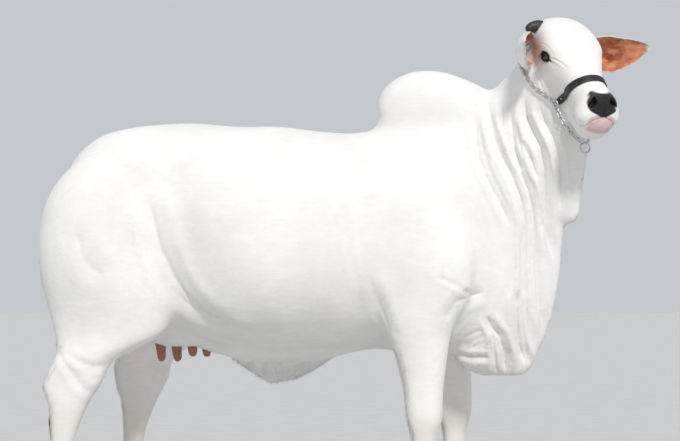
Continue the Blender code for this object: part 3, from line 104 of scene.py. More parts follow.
def even_turns(count):
    """Even steps round a full circle, in radians."""
    return [2 * math.pi * k / count for k in range(count)]


def bell(value, middle, width):
    """1 in the middle, falling away over the width on both sides."""
    return np.exp(-(((value - middle) / width) ** 2))


def eased(rows, count):
    """The rows of a table of sizes, joined by a smooth curve that is read at count even steps."""
    table = np.array(rows, float)
    padded = np.vstack([2 * table[0] - table[1], table, 2 * table[-1] - table[-2]])
    out = []
    for place in np.linspace(0, len(table) - 1, count):
        i = min(int(place), len(table) - 2)
        t = place - i
        a, b, c, d = padded[i : i + 4]
        slope_b, slope_c = (c - a) / 2, (d - b) / 2
        out.append(
            b * (2 * t**3 - 3 * t**2 + 1)
            + slope_b * (t**3 - 2 * t**2 + t)
            + c * (3 * t**2 - 2 * t**3)
            + slope_c * (t**3 - t**2)
        )
    return out


def oval(centre, side, rise, half_width, above, below, powers, sides=28):
    """A ring of points: half_width along side, and above and below the widest line along rise."""
    ring = []
    for a in even_turns(sides):
        c, s = math.cos(a), math.sin(a)
        height, power = (above, powers[0]) if s >= 0 else (below, powers[1])
        across = math.copysign(abs(c) ** (2 / power), c) * half_width
        along = math.copysign(abs(s) ** (2 / power), s) * height
        ring.append(centre + side * across + rise * along)
    return ring


def lofted(name, rings):
    """A closed mesh object through the rings, with flat ends, facing out."""
    bm = bmesh.new()
    loops = [[bm.verts.new(p) for p in ring] for ring in rings]
    for a, b in zip(loops, loops[1:]):
        for i in range(len(a)):
            j = (i + 1) % len(a)
            bm.faces.new((a[i], a[j], b[j], b[i]))
    bm.faces.new(reversed(loops[0]))
    bm.faces.new(loops[-1])
    return finished(name, bm)


def placed(name, data):
    made = bpy.data.objects.new(name, data)
    bpy.context.scene.collection.objects.link(made)
    return made


def finished(name, bm):
    """A new object that holds the mesh, turned to face out."""
    if bm.calc_volume(signed=True) < 0:
        bmesh.ops.reverse_faces(bm, faces=bm.faces)
    mesh = bpy.data.meshes.new(name)
    bm.to_mesh(mesh)
    bm.free()
    return placed(name, mesh)


def applied(obj):
    """The object with its modifiers made part of its mesh."""
    graph = bpy.context.evaluated_depsgraph_get()
    graph.update()
    mesh = bpy.data.meshes.new_from_object(obj.evaluated_get(graph), depsgraph=graph)
    obj.modifiers.clear()
    obj.data = mesh
    return obj


def removed(*objects):
    for obj in objects:
        bpy.data.objects.remove(obj)


def joined(name, objects):
    """One object that holds the meshes of several, as separate shells."""
    bm = bmesh.new()
    for obj in objects:
        bm.from_mesh(obj.data)
    removed(*objects)
    return finished(name, bm)


def combined(obj, other, operation):
    """obj united with, or cut by, another closed object, which is used up."""
    step = obj.modifiers.new("combine", "BOOLEAN")
    step.object = other
    step.operation = operation
    step.solver = "MANIFOLD"
    applied(obj)
    removed(other)
    return obj


def tube(name, points, radii, sides):
    """A round bar along some points, whose radius changes."""
    rings = []
    side = None
    for i, (p, radius) in enumerate(zip(points, radii)):
        along = (points[min(i + 1, len(points) - 1)] - points[max(i - 1, 0)]).normalized()
        if side is None:
            side = along.cross(ACROSS if abs(along.y) < 0.9 else AHEAD)
        side = (side - along * side.dot(along)).normalized()
        rings.append(oval(p, side, side.cross(along), radius, radius, radius, (2, 2), sides))
    return lofted(name, rings)


def mirrored(place, side):
    return Vector((place.x, side * place.y, place.z))


def ball(name, centre, radii, directions, around=48, rings=32):
    """A sphere, or an egg with its three radii along the directions."""
    bm = bmesh.new()
    bmesh.ops.create_uvsphere(bm, u_segments=around, v_segments=rings, radius=1.0)
    for v in bm.verts:
        v.co = centre + directions @ Vector((v.co.x * radii[0], v.co.y * radii[1], v.co.z * radii[2]))
    return finished(name, bm)


def rows_of(mesh, what="co"):
    rows = np.empty(len(mesh.vertices) * 3)
    mesh.vertices.foreach_get(what, rows)
    return rows.reshape(-1, 3)


def moved_to(mesh, places):
    mesh.vertices.foreach_set("co", places.reshape(-1))
    mesh.update()


def edges_of(mesh):
    pairs = np.empty(len(mesh.edges) * 2, np.int32)
    mesh.edges.foreach_get("vertices", pairs)
    return pairs.reshape(-1, 2)


def relax(obj, rounds, share=None, step=0.25):
    """Moves every vertex towards the middle of its neighbours, by its share."""
    mesh = obj.data
    places, pairs = rows_of(mesh), edges_of(mesh)
    count = len(places)
    degree = np.bincount(pairs.ravel(), minlength=count)
    share = np.ones(count) if share is None else share
    pull = (share * step)[:, None]
    for _ in range(rounds):
        total = np.empty_like(places)
        for axis in range(3):
            line = places[:, axis]
            total[:, axis] = np.bincount(pairs[:, 0], line[pairs[:, 1]], count)
            total[:, axis] += np.bincount(pairs[:, 1], line[pairs[:, 0]], count)
        places += pull * (total / degree[:, None] - places)
    moved_to(mesh, places)


def remeshed(obj, voxel):
    step = obj.modifiers.new("merge", "REMESH")
    step.mode = "VOXEL"
    step.voxel_size = voxel
    return applied(obj)


def refined(obj, chosen):
    """Splits the faces round the chosen vertices into four."""
    bm = bmesh.new()
    bm.from_mesh(obj.data)
    chosen = chosen.tolist()
    edges = [e for e in bm.edges if chosen[e.verts[0].index] and chosen[e.verts[1].index]]
    bmesh.ops.subdivide_edges(bm, edges=edges, cuts=1, use_grid_fill=True)
    bmesh.ops.triangulate(bm, faces=[f for f in bm.faces if len(f.verts) > 4])
    bm.to_mesh(obj.data)
    bm.free()


def in_head(places):
    """Places in the head's own frame."""
    return (places - np.array(POLL)) @ np.array(HEAD)


def ramp(values, start, end):
    """0 at start and before, 1 at end and after, eased between."""
    t = np.clip((values - start) / (end - start), 0, 1)
    return t * t * (3 - 2 * t)


def surface_tree(obj):
    return BVHTree.FromObject(obj, bpy.context.evaluated_depsgraph_get())


# The body's forms

BARREL = (
    # x, top, bottom, half width, height of the widest line, roundness above, below
    (-0.950, 1.300, 1.020, 0.060, 1.160, 2.0, 2.0),
    (-0.930, 1.385, 0.930, 0.125, 1.180, 2.0, 2.0),
    (-0.895, 1.448, 0.860, 0.185, 1.190, 2.1, 2.0),
    (-0.841, 1.500, 0.800, 0.235, 1.220, 2.2, 2.0),
    (-0.760, 1.545, 0.755, 0.275, 1.240, 2.4, 2.0),
    (-0.640, 1.568, 0.748, 0.305, 1.230, 2.7, 2.0),
    (-0.520, 1.578, 0.748, 0.320, 1.180, 2.8, 2.0),
    (-0.399, 1.581, 0.728, 0.345, 1.140, 2.7, 2.1),
    (-0.239, 1.566, 0.695, 0.380, 1.110, 2.5, 2.1),
    (-0.080, 1.566, 0.685, 0.395, 1.100, 2.4, 2.1),
    (0.078, 1.546, 0.692, 0.390, 1.110, 2.3, 2.1),
    (0.196, 1.538, 0.700, 0.368, 1.120, 2.2, 2.1),
    (0.300, 1.550, 0.700, 0.342, 1.130, 2.1, 2.1),
    (0.420, 1.590, 0.690, 0.322, 1.120, 2.0, 2.2),
    (0.540, 1.620, 0.680, 0.300, 1.100, 2.0, 2.2),
    (0.640, 1.610, 0.690, 0.262, 1.080, 2.0, 2.1),
    (0.730, 1.560, 0.720, 0.205, 1.060, 2.0, 2.0),
    (0.800, 1.450, 0.780, 0.140, 1.050, 2.0, 2.0),
    (0.845, 1.300, 0.860, 0.070, 1.040, 2.0, 2.0),
)


def barrel():
    rings = [
        oval(Vector((x, 0, wide)), ACROSS, UP, half, top - wide, wide - low, (up, down), 40)
        for x, top, low, half, wide, up, down in eased(BARREL, 60)
    ]
    return lofted("barrel", rings)


HUMP = (
    # x, top, half width
    (0.302, 1.598, 0.030),
    (0.304, 1.640, 0.062),
    (0.313, 1.676, 0.092),
    (0.330, 1.710, 0.118),
    (0.369, 1.745, 0.138),
    (0.432, 1.773, 0.150),
    (0.510, 1.780, 0.152),
    (0.587, 1.767, 0.146),
    (0.665, 1.736, 0.130),
    (0.735, 1.700, 0.105),
    (0.790, 1.640, 0.060),
)
HUMP_SEAT = 1.560  # the height of the hump's widest line, inside the back
HUMP_ROOT = 0.120  # how far the hump goes on below it


def hump():
    rings = [
        oval(Vector((x, 0, HUMP_SEAT)), ACROSS, UP, half, top - HUMP_SEAT, HUMP_ROOT, (2.3, 2.0))
        for x, top, half in eased(HUMP, 26)
    ]
    return lofted("hump", rings)


NECK = (
    # crest x, y, z, throat x, y, z, half width, turn of the neck in degrees
    (0.540, 0.000, 1.600, 0.600, 0.000, 0.960, 0.200, 0),
    (0.680, 0.000, 1.680, 0.740, 0.000, 1.040, 0.180, 4),
    (0.760, -0.004, 1.716, 0.860, -0.010, 1.140, 0.158, 12),
    (0.820, -0.020, 1.757, 0.940, -0.030, 1.250, 0.140, 24),
    (0.865, -0.045, 1.800, 1.000, -0.070, 1.350, 0.128, 34),
    (0.905, -0.075, 1.850, 1.045, -0.110, 1.430, 0.118, 42),
    (0.950, -0.105, 1.905, 1.080, -0.155, 1.500, 0.108, 48),
    (1.000, -0.140, 1.925, 1.105, -0.200, 1.560, 0.092, 50),
)


def neck():
    rings = []
    for cx, cy, cz, tx, ty, tz, half, turn in eased(NECK, 26):
        crest, throat = Vector((cx, cy, cz)), Vector((tx, ty, tz))
        yaw = math.radians(turn)
        side = Vector((math.sin(yaw), math.cos(yaw), 0))
        middle = crest.lerp(throat, 0.55)
        rise = (crest - throat).normalized()
        above, below = (crest - middle).length, (throat - middle).length
        rings.append(oval(middle, side, rise, half, above, below, (2.0, 2.2)))
    return lofted("neck", rings)


DEWLAP = (
    # z, back x, front x, y at the back, y at the front, half width at the back, half thickness in front
    (0.596, 0.700, 0.868, 0.000, -0.010, 0.040, 0.020),
    (0.622, 0.640, 0.900, 0.000, -0.012, 0.075, 0.028),
    (0.665, 0.600, 0.920, 0.000, -0.014, 0.110, 0.034),
    (0.730, 0.600, 0.950, 0.000, -0.018, 0.150, 0.036),
    (0.810, 0.600, 0.978, 0.000, -0.024, 0.190, 0.036),
    (0.900, 0.600, 0.998, 0.000, -0.030, 0.215, 0.036),
    (1.000, 0.600, 1.014, 0.000, -0.038, 0.225, 0.036),
    (1.100, 0.610, 1.022, 0.000, -0.048, 0.220, 0.037),
    (1.180, 0.630, 1.030, 0.000, -0.062, 0.205, 0.038),
    (1.250, 0.660, 1.048, 0.000, -0.082, 0.185, 0.038),
    (1.330, 0.710, 1.068, -0.010, -0.110, 0.160, 0.036),
    (1.410, 0.780, 1.088, -0.030, -0.145, 0.135, 0.034),
    (1.480, 0.850, 1.105, -0.060, -0.180, 0.112, 0.034),
    (1.530, 0.900, 1.110, -0.090, -0.200, 0.090, 0.034),
)
THROAT_FLAP = (
    # the upper flap of the dewlap, which ends above the lower one in a rounded fold
    (1.176, 1.000, 1.058, -0.050, -0.078, 0.018, 0.014),
    (1.192, 0.960, 1.078, -0.048, -0.086, 0.036, 0.024),
    (1.230, 0.930, 1.090, -0.048, -0.092, 0.056, 0.030),
    (1.309, 0.930, 1.098, -0.050, -0.112, 0.066, 0.032),
    (1.386, 0.930, 1.114, -0.060, -0.142, 0.070, 0.032),
    (1.463, 0.940, 1.122, -0.080, -0.180, 0.072, 0.030),
    (1.505, 0.950, 1.106, -0.095, -0.195, 0.066, 0.026),
    (1.540, 0.960, 1.075, -0.105, -0.195, 0.055, 0.022),
)


def wedge_ring(z, back, front, back_y, front_y, half, edge, sides=30):
    """A level ring that narrows from half width at the back to a round edge at the front."""
    ring = []
    for a in even_turns(sides):
        share = (1 - math.cos(a)) / 2  # 0 at the front, 1 at the back
        reach = 1 - share
        width = edge + (half - edge) * share**0.9
        middle = front_y + (back_y - front_y) * share
        side = math.copysign(abs(math.sin(a)) ** 0.62, math.sin(a))
        ring.append(Vector((back + (front - back) * reach, middle + side * width, z)))
    return ring


def wedge(name, rows, count):
    return lofted(name, [wedge_ring(*row) for row in eased(rows, count)])


NAVEL_FLAP = (
    # x, lowest point, half thickness
    (-0.430, 0.700, 0.030),
    (-0.350, 0.676, 0.032),
    (-0.277, 0.655, 0.032),
    (-0.220, 0.622, 0.030),
    (-0.165, 0.585, 0.028),
    (-0.119, 0.560, 0.027),
    (-0.070, 0.566, 0.027),
    (-0.010, 0.578, 0.027),
    (0.050, 0.607, 0.029),
    (0.118, 0.648, 0.032),
    (0.200, 0.676, 0.036),
    (0.300, 0.690, 0.040),
    (0.420, 0.680, 0.050),
)
FLAP_ROOT = 0.800


def navel_flap():
    rings = [
        oval(Vector((x, 0, (FLAP_ROOT + low) / 2)), ACROSS, UP, half,
             (FLAP_ROOT - low) / 2, (FLAP_ROOT - low) / 2, (2.6, 2.2), 20)
        for x, low, half in eased(NAVEL_FLAP, 36)
    ]
    return lofted("navel_flap", rings)


HIND_LEG = (
    # z, back x, front x, distance of the middle from the track line (outwards), half width, roundness
    (1.440, -0.840, -0.560, -0.110, 0.110, 2.0),
    (1.340, -0.930, -0.500, -0.075, 0.145, 2.1),
    (1.220, -0.978, -0.480, -0.060, 0.160, 2.2),
    (1.080, -0.992, -0.480, -0.058, 0.166, 2.2),
    (0.960, -0.985, -0.470, -0.062, 0.160, 2.2),
    (0.880, -0.965, -0.455, -0.064, 0.148, 2.2),
    (0.810, -0.945, -0.465, -0.058, 0.130, 2.2),
    (0.750, -0.925, -0.500, -0.045, 0.110, 2.2),
    (0.700, -0.910, -0.590, -0.025, 0.092, 2.2),
    (0.657, -0.922, -0.672, -0.010, 0.078, 2.2),
    (0.619, -0.944, -0.705, -0.004, 0.068, 2.3),
    (0.580, -0.953, -0.720, 0.000, 0.062, 2.4),
    (0.542, -0.955, -0.742, 0.000, 0.060, 2.4),
    (0.504, -0.945, -0.768, 0.000, 0.058, 2.4),
    (0.466, -0.937, -0.788, 0.000, 0.054, 2.3),
    (0.420, -0.933, -0.808, 0.000, 0.047, 2.2),
    (0.350, -0.930, -0.832, 0.000, 0.040, 2.2),
    (0.270, -0.926, -0.842, 0.000, 0.037, 2.2),
    (0.200, -0.930, -0.838, 0.000, 0.040, 2.3),
    (0.155, -0.940, -0.826, 0.000, 0.051, 2.4),
    (0.125, -0.938, -0.812, 0.000, 0.053, 2.4),
    (0.095, -0.914, -0.798, 0.000, 0.047, 2.4),
    (0.070, -0.900, -0.782, 0.000, 0.052, 2.5),
    (0.030, -0.892, -0.768, 0.000, 0.056, 2.6),
)
FORE_LEG = (
    (1.360, 0.420, 0.570, -0.035, 0.080, 2.0),
    (1.240, 0.370, 0.630, -0.018, 0.092, 2.1),
    (1.120, 0.350, 0.675, -0.004, 0.102, 2.1),
    (1.000, 0.325, 0.695, 0.006, 0.107, 2.2),
    (0.900, 0.320, 0.680, 0.008, 0.106, 2.2),
    (0.820, 0.335, 0.636, 0.006, 0.100, 2.2),
    (0.760, 0.358, 0.608, 0.002, 0.092, 2.2),
    (0.700, 0.384, 0.598, 0.000, 0.084, 2.2),
    (0.640, 0.402, 0.590, 0.000, 0.076, 2.2),
    (0.587, 0.415, 0.583, 0.000, 0.070, 2.2),
    (0.540, 0.424, 0.579, 0.000, 0.067, 2.3),
    (0.490, 0.430, 0.576, 0.000, 0.066, 2.5),
    (0.450, 0.434, 0.574, 0.000, 0.066, 2.6),
    (0.410, 0.442, 0.566, 0.000, 0.060, 2.5),
    (0.360, 0.452, 0.552, 0.000, 0.048, 2.3),
    (0.280, 0.458, 0.544, 0.000, 0.041, 2.2),
    (0.210, 0.455, 0.546, 0.000, 0.043, 2.3),
    (0.160, 0.444, 0.558, 0.000, 0.053, 2.4),
    (0.128, 0.446, 0.572, 0.000, 0.055, 2.4),
    (0.097, 0.468, 0.588, 0.000, 0.050, 2.4),
    (0.070, 0.482, 0.604, 0.000, 0.055, 2.5),
    (0.030, 0.490, 0.618, 0.000, 0.059, 2.6),
)


STEP_DONE = 0.45  # the height below which a leg has all of its step


def step_at(z, top, step):
    """How far forward a leg has stepped at height z: nothing at the top, all of it below the knee."""
    share = min(max((top - z) / (top - STEP_DONE), 0), 1)
    return step * share * share * (3 - 2 * share)


def leg(name, rows, track, side, step, top):
    rings = []
    for z, back, front, out, half, power in eased(rows, 64):
        shift = step_at(z, top, step)
        centre = Vector(((back + front) / 2 + shift, side * (track + out), z))
        reach = (front - back) / 2
        rings.append(oval(centre, AHEAD, ACROSS, reach, half, half, (power, power), 24))
    return lofted(name, rings)


SKULL = (
    # u, top w, bottom w, half width, w of the widest line, roundness above, below
    (-0.050, -0.045, -0.120, 0.050, -0.080, 2.0, 2.0),
    (-0.030, -0.008, -0.150, 0.078, -0.075, 2.2, 2.0),
    (0.005, 0.022, -0.170, 0.100, -0.056, 2.5, 2.0),
    (0.055, 0.040, -0.190, 0.113, -0.040, 2.8, 2.0),
    (0.110, 0.045, -0.200, 0.121, -0.034, 3.0, 1.9),
    (0.165, 0.038, -0.205, 0.121, -0.036, 3.0, 1.8),
    (0.220, 0.026, -0.195, 0.105, -0.042, 2.6, 1.8),
    (0.275, 0.017, -0.172, 0.086, -0.052, 2.2, 1.9),
    (0.330, 0.012, -0.150, 0.072, -0.058, 2.1, 2.0),
    (0.380, 0.010, -0.134, 0.071, -0.060, 2.2, 2.1),
    (0.412, 0.009, -0.128, 0.081, -0.062, 2.3, 2.4),
    (0.433, 0.002, -0.130, 0.088, -0.065, 2.4, 2.5),
    (0.450, -0.013, -0.131, 0.089, -0.068, 2.4, 2.5),
    (0.466, -0.028, -0.130, 0.087, -0.071, 2.4, 2.5),
    (0.480, -0.042, -0.125, 0.079, -0.074, 2.3, 2.4),
    (0.491, -0.053, -0.114, 0.062, -0.077, 2.2, 2.3),
    (0.499, -0.066, -0.098, 0.036, -0.079, 2.2, 2.2),
)
JAW = (
    (0.080, -0.120, -0.190, 0.060, -0.150, 2.2, 2.2),
    (0.110, -0.090, -0.222, 0.078, -0.150, 2.2, 2.2),
    (0.160, -0.080, -0.240, 0.086, -0.150, 2.2, 2.2),
    (0.215, -0.080, -0.238, 0.080, -0.150, 2.2, 2.2),
    (0.270, -0.080, -0.222, 0.067, -0.148, 2.2, 2.2),
    (0.330, -0.078, -0.204, 0.057, -0.140, 2.2, 2.2),
    (0.390, -0.070, -0.190, 0.059, -0.128, 2.3, 2.3),
    (0.430, -0.064, -0.186, 0.063, -0.120, 2.4, 2.4),
    (0.464, -0.060, -0.182, 0.062, -0.114, 2.4, 2.4),
    (0.488, -0.060, -0.170, 0.056, -0.108, 2.3, 2.3),
    (0.502, -0.066, -0.150, 0.045, -0.104, 2.2, 2.2),
    (0.510, -0.082, -0.128, 0.024, -0.104, 2.1, 2.1),
)


def head_loft(name, rows, count):
    rings = []
    for u, top, low, half, wide, up, down in eased(rows, count):
        middle = head_point(u, 0, wide)
        rings.append(oval(middle, HEAD.col[1], HEAD.col[2], half, top - wide, wide - low, (up, down)))
    return lofted(name, rings)


UDDER = (
    # z, back x, front x, half width
    (0.860, -0.620, -0.330, 0.085),
    (0.790, -0.620, -0.330, 0.090),
    (0.745, -0.605, -0.335, 0.090),
    (0.715, -0.585, -0.350, 0.080),
    (0.700, -0.550, -0.380, 0.050),
)


def udder():
    rings = [
        oval(Vector(((back + front) / 2, 0, z)), AHEAD, ACROSS,
             (front - back) / 2, half, half, (2.2, 2.2), 24)
        for z, back, front, half in eased(UDDER, 12)
    ]
    return lofted("udder", rings)


TAIL = (
    # x, z, radius
    (-0.805, 1.470, 0.038),
    (-0.852, 1.448, 0.038),
    (-0.894, 1.412, 0.036),
    (-0.932, 1.362, 0.034),
    (-0.962, 1.300, 0.031),
    (-0.983, 1.220, 0.027),
    (-0.992, 1.120, 0.023),
    (-0.992, 1.020, 0.020),
    (-0.986, 0.920, 0.018),
    (-0.975, 0.820, 0.016),
    (-0.963, 0.720, 0.015),
    (-0.954, 0.620, 0.014),
)
TAIL_END = 0.645  # height at which the switch begins


def tail():
    rows = [(x, z, r) for x, z, r in eased(TAIL, 40) if z > TAIL_END - 0.01]
    return tube("tail", [Vector((x, 0, z)) for x, z, _ in rows], [r for _, _, r in rows], 16)


# The surface over the merged forms

SWELLINGS = (
    # x, y, z, reach in x, y, z, height; a y other than 0 stands on both sides of the cow
    (-0.620, 0.290, 1.420, 0.090, 0.120, 0.080, 0.012),  # hooks, the corners of the hips
    (-0.965, 0.110, 1.290, 0.060, 0.070, 0.070, 0.010),  # pins, beside the tail
    (-0.790, 0.330, 1.100, 0.170, 0.120, 0.220, 0.016),  # thigh
    (-0.620, 0.330, 0.900, 0.110, 0.120, 0.110, 0.012),  # stifle
    (-0.470, 0.320, 1.330, 0.085, 0.140, 0.080, -0.012),  # hollow of the flank
    (-0.420, 0.360, 1.060, 0.080, 0.140, 0.190, -0.020),  # in front of the thigh
    (-0.970, 0.000, 1.130, 0.110, 0.045, 0.270, -0.062),  # cleft under the tail
    (0.470, 0.320, 1.220, 0.120, 0.140, 0.230, 0.012),  # shoulder blade
    (0.600, 0.280, 1.000, 0.110, 0.120, 0.110, 0.008),  # point of the shoulder
    (0.255, 0.380, 1.180, 0.060, 0.160, 0.300, -0.009),  # behind the shoulder
    (0.330, 0.340, 0.930, 0.050, 0.120, 0.060, 0.010),  # elbow
    (0.050, 0.400, 0.950, 0.300, 0.160, 0.160, 0.008),  # ribs
    (0.310, 0.000, 1.590, 0.030, 0.120, 0.030, -0.012),  # crease behind the hump
    (0.760, 0.000, 1.700, 0.035, 0.120, 0.040, -0.008),  # dip in front of the hump
    (-0.950, 0.255, 0.560, 0.030, 0.060, 0.030, 0.006),  # hock point
    (-0.850, 0.255, 0.640, 0.060, 0.100, 0.050, 0.006),  # tendons over the hock
    (0.500, 0.225, 0.450, 0.090, 0.080, 0.045, 0.003),  # knee
)
HEAD_SWELLINGS = (
    # u, v, w, reach in u, v, w, height
    (0.150, 0.108, -0.020, 0.045, 0.040, 0.035, 0.007),  # brow over the eye
    (0.190, 0.085, -0.045, 0.030, 0.040, 0.030, -0.004),  # inner corner of the eye
    (0.120, 0.110, -0.095, 0.050, 0.050, 0.030, -0.006),  # temple behind the eye
    (0.230, 0.075, -0.075, 0.050, 0.050, 0.020, 0.003),  # cheek bone
    (0.290, 0.070, -0.105, 0.060, 0.050, 0.030, -0.007),  # hollow of the cheek
    (0.160, 0.095, -0.165, 0.060, 0.060, 0.045, 0.006),  # jaw muscle
    (0.436, 0.058, -0.012, 0.022, 0.022, 0.022, 0.004),  # wings of the nostrils
    (0.452, 0.078, -0.088, 0.030, 0.040, 0.026, 0.005),  # upper lip, hanging at the side
    (0.487, 0.000, -0.046, 0.020, 0.012, 0.012, -0.003),  # groove under the nose
    (0.500, 0.000, -0.100, 0.030, 0.050, 0.030, 0.003),  # lower lip
    (0.490, 0.000, -0.136, 0.040, 0.060, 0.012, -0.004),  # crease over the chin
    (0.040, 0.000, 0.045, 0.060, 0.080, 0.040, 0.004),  # top of the forehead
)

FOLDS = (
    # depth on the right, depth on the left, width, then the route as (x, z) points
    (0.011, 0.008, 0.013, (
        (0.692, 1.600), (0.699, 1.487), (0.712, 1.421), (0.735, 1.364), (0.763, 1.305), (0.799, 1.232),
        (0.832, 1.150),
    )),
    (0.019, 0.014, 0.014, (
        (0.728, 1.680), (0.750, 1.587), (0.760, 1.523), (0.785, 1.451), (0.822, 1.378), (0.857, 1.299),
        (0.875, 1.246), (0.884, 1.174), (0.885, 1.066), (0.886, 0.959), (0.885, 0.868), (0.888, 0.778),
        (0.900, 0.690),
    )),
    (0.010, 0.008, 0.011, ((0.788, 1.640), (0.799, 1.523), (0.836, 1.443), (0.868, 1.370))),
    (0.020, 0.015, 0.014, (
        (0.824, 1.640), (0.833, 1.522), (0.847, 1.443), (0.865, 1.369), (0.893, 1.304), (0.911, 1.232),
        (0.918, 1.159), (0.921, 1.066), (0.927, 0.957), (0.932, 0.850), (0.949, 0.785), (0.970, 0.744),
    )),
    (0.020, 0.015, 0.014, (
        (0.877, 1.680), (0.880, 1.584), (0.909, 1.519), (0.938, 1.461), (0.955, 1.374), (0.959, 1.281),
        (0.958, 1.173), (0.972, 1.100), (0.994, 1.030),
    )),
    (0.009, 0.007, 0.012, ((0.872, 1.500), (0.884, 1.455), (0.909, 1.404), (0.934, 1.335))),
    (0.012, 0.009, 0.012, (
        (0.935, 1.630), (0.952, 1.560), (0.985, 1.500), (1.010, 1.430), (1.018, 1.330), (1.012, 1.220),
    )),
    (0.016, 0.012, 0.014, ((0.850, 0.935), (0.851, 0.890), (0.853, 0.812), (0.858, 0.719), (0.880, 0.635))),
    (0.017, 0.013, 0.014, ((0.735, 0.835), (0.754, 0.785), (0.784, 0.745), (0.800, 0.690), (0.802, 0.600))),
    (0.010, 0.008, 0.011, ((0.758, 0.760), (0.762, 0.715), (0.764, 0.667), (0.768, 0.600))),
    (0.010, 0.008, 0.010, ((0.598, 0.676), (0.640, 0.672), (0.690, 0.666), (0.750, 0.667))),
    (0.008, 0.006, 0.018, ((0.590, 0.800), (0.606, 0.840), (0.632, 0.878), (0.683, 0.900), (0.740, 0.918))),
    (0.006, 0.006, 0.020, ((0.300, 0.985), (0.318, 0.930), (0.355, 0.832), (0.385, 0.735))),
    (0.016, 0.016, 0.032, (
        (-0.540, 1.300), (-0.520, 1.190), (-0.496, 1.080), (-0.449, 0.963), (-0.387, 0.875),
        (-0.314, 0.812), (-0.190, 0.755),
    )),
    (0.006, 0.006, 0.030, ((-0.800, 1.150), (-0.781, 1.061), (-0.746, 1.008), (-0.690, 0.975))),
    (0.005, 0.005, 0.014, ((-0.895, 0.700), (-0.841, 0.624), (-0.795, 0.560), (-0.748, 0.516))),
    (0.004, 0.004, 0.012, ((-0.872, 0.700), (-0.811, 0.655), (-0.748, 0.632), (-0.690, 0.636))),
)
WRINKLES = (
    # depth, width, then the route as (x, z) points; finer than the folds, and on both sides
    (0.0032, 0.0080, ((0.597, 0.689), (0.629, 0.743), (0.665, 0.785))),
    (0.0028, 0.0075, ((0.597, 0.686), (0.652, 0.743), (0.735, 0.779))),
    (0.0026, 0.0075, ((0.597, 0.684), (0.664, 0.722), (0.740, 0.758))),
    (0.0024, 0.0075, ((0.600, 0.681), (0.668, 0.701), (0.735, 0.735))),
    (0.0035, 0.0090, ((0.550, 0.978), (0.617, 0.951), (0.654, 0.925), (0.700, 0.898))),
    (0.0040, 0.0080, ((0.712, 1.560), (0.722, 1.470), (0.745, 1.390), (0.785, 1.305), (0.820, 1.225))),
    (0.0045, 0.0080, ((0.742, 1.600), (0.770, 1.530), (0.790, 1.470), (0.826, 1.392), (0.862, 1.310))),
    (0.0045, 0.0080, (
        (0.851, 1.620), (0.856, 1.530), (0.870, 1.440), (0.893, 1.362), (0.925, 1.290), (0.936, 1.200),
    )),
    (0.0040, 0.0080, (
        (0.904, 1.600), (0.915, 1.560), (0.945, 1.500), (0.972, 1.430), (0.984, 1.340), (0.986, 1.230),
    )),
    (0.0040, 0.0080, ((0.902, 1.160), (0.903, 1.060), (0.905, 0.950), (0.908, 0.860), (0.918, 0.770))),
    (0.0040, 0.0080, ((0.866, 1.140), (0.866, 1.040), (0.866, 0.960), (0.867, 0.880))),
    (0.0045, 0.0080, ((0.870, 0.900), (0.871, 0.810), (0.877, 0.720), (0.892, 0.650))),
    (0.0040, 0.0080, ((0.945, 1.140), (0.952, 1.060), (0.958, 0.960), (0.962, 0.870), (0.975, 0.800))),
    (0.0020, 0.0110, ((0.216, 1.261), (0.228, 1.150), (0.240, 1.037), (0.273, 0.888))),
    (0.0030, 0.0090, ((0.310, 0.760), (0.342, 0.716), (0.378, 0.690), (0.400, 0.668))),
    (0.0025, 0.0100, ((0.322, 0.840), (0.345, 0.778), (0.372, 0.735), (0.396, 0.712))),
    (0.0060, 0.0170, ((-0.470, 0.945), (-0.410, 0.870), (-0.353, 0.831), (-0.238, 0.782), (-0.110, 0.750))),
)
FACE_LINES = (
    # depth, width, then the route as (u, w) points in the head's frame, on both cheeks
    (0.0022, 0.0034, (
        (0.118, -0.070), (0.133, -0.088), (0.156, -0.108), (0.180, -0.128), (0.214, -0.144),
        (0.240, -0.158),
    )),
    (0.0020, 0.0034, ((0.108, -0.090), (0.118, -0.110), (0.148, -0.134), (0.184, -0.151), (0.220, -0.168))),
    (0.0016, 0.0040, ((0.165, -0.088), (0.190, -0.104), (0.214, -0.122), (0.236, -0.142))),
    (0.0024, 0.0034, ((0.190, -0.030), (0.211, -0.018), (0.228, -0.014), (0.245, -0.012), (0.268, -0.014))),
    (0.0014, 0.0040, ((0.185, -0.046), (0.210, -0.044), (0.235, -0.040))),
    (0.0014, 0.0036, ((0.408, -0.066), (0.418, -0.086), (0.414, -0.108), (0.400, -0.122))),
    (0.0012, 0.0036, ((0.390, -0.058), (0.398, -0.084), (0.394, -0.108))),
)


def swelling(places, centre, reach, height):
    return height * np.exp(-(((places - centre) / reach) ** 2).sum(axis=1))


def along_route(places, route):
    """How far each (x, z) place is from a route, and how much the fold has faded in there from its ends."""
    route = np.array(route)
    lengths = np.linalg.norm(np.diff(route, axis=0), axis=1)
    starts = np.concatenate([[0], np.cumsum(lengths)])
    best = np.full(len(places), np.inf)
    where = np.zeros(len(places))
    for a, b, length, start in zip(route, route[1:], lengths, starts):
        t = np.clip(((places - a) @ (b - a)) / length**2, 0, 1)
        away = np.linalg.norm(places - (a + t[:, None] * (b - a)), axis=1)
        nearer = away < best
        best[nearer] = away[nearer]
        where[nearer] = (start + t * length)[nearer] / starts[-1]
    fade = np.clip(np.minimum(where, 1 - where) / 0.18, 0, 1)
    return best, fade * fade * (3 - 2 * fade)


def fold_profile(away, width):
    """A sharp valley between two soft rolls."""
    return 0.42 * bell(away, 2.2 * width, width) - np.exp(-away / (0.75 * width))


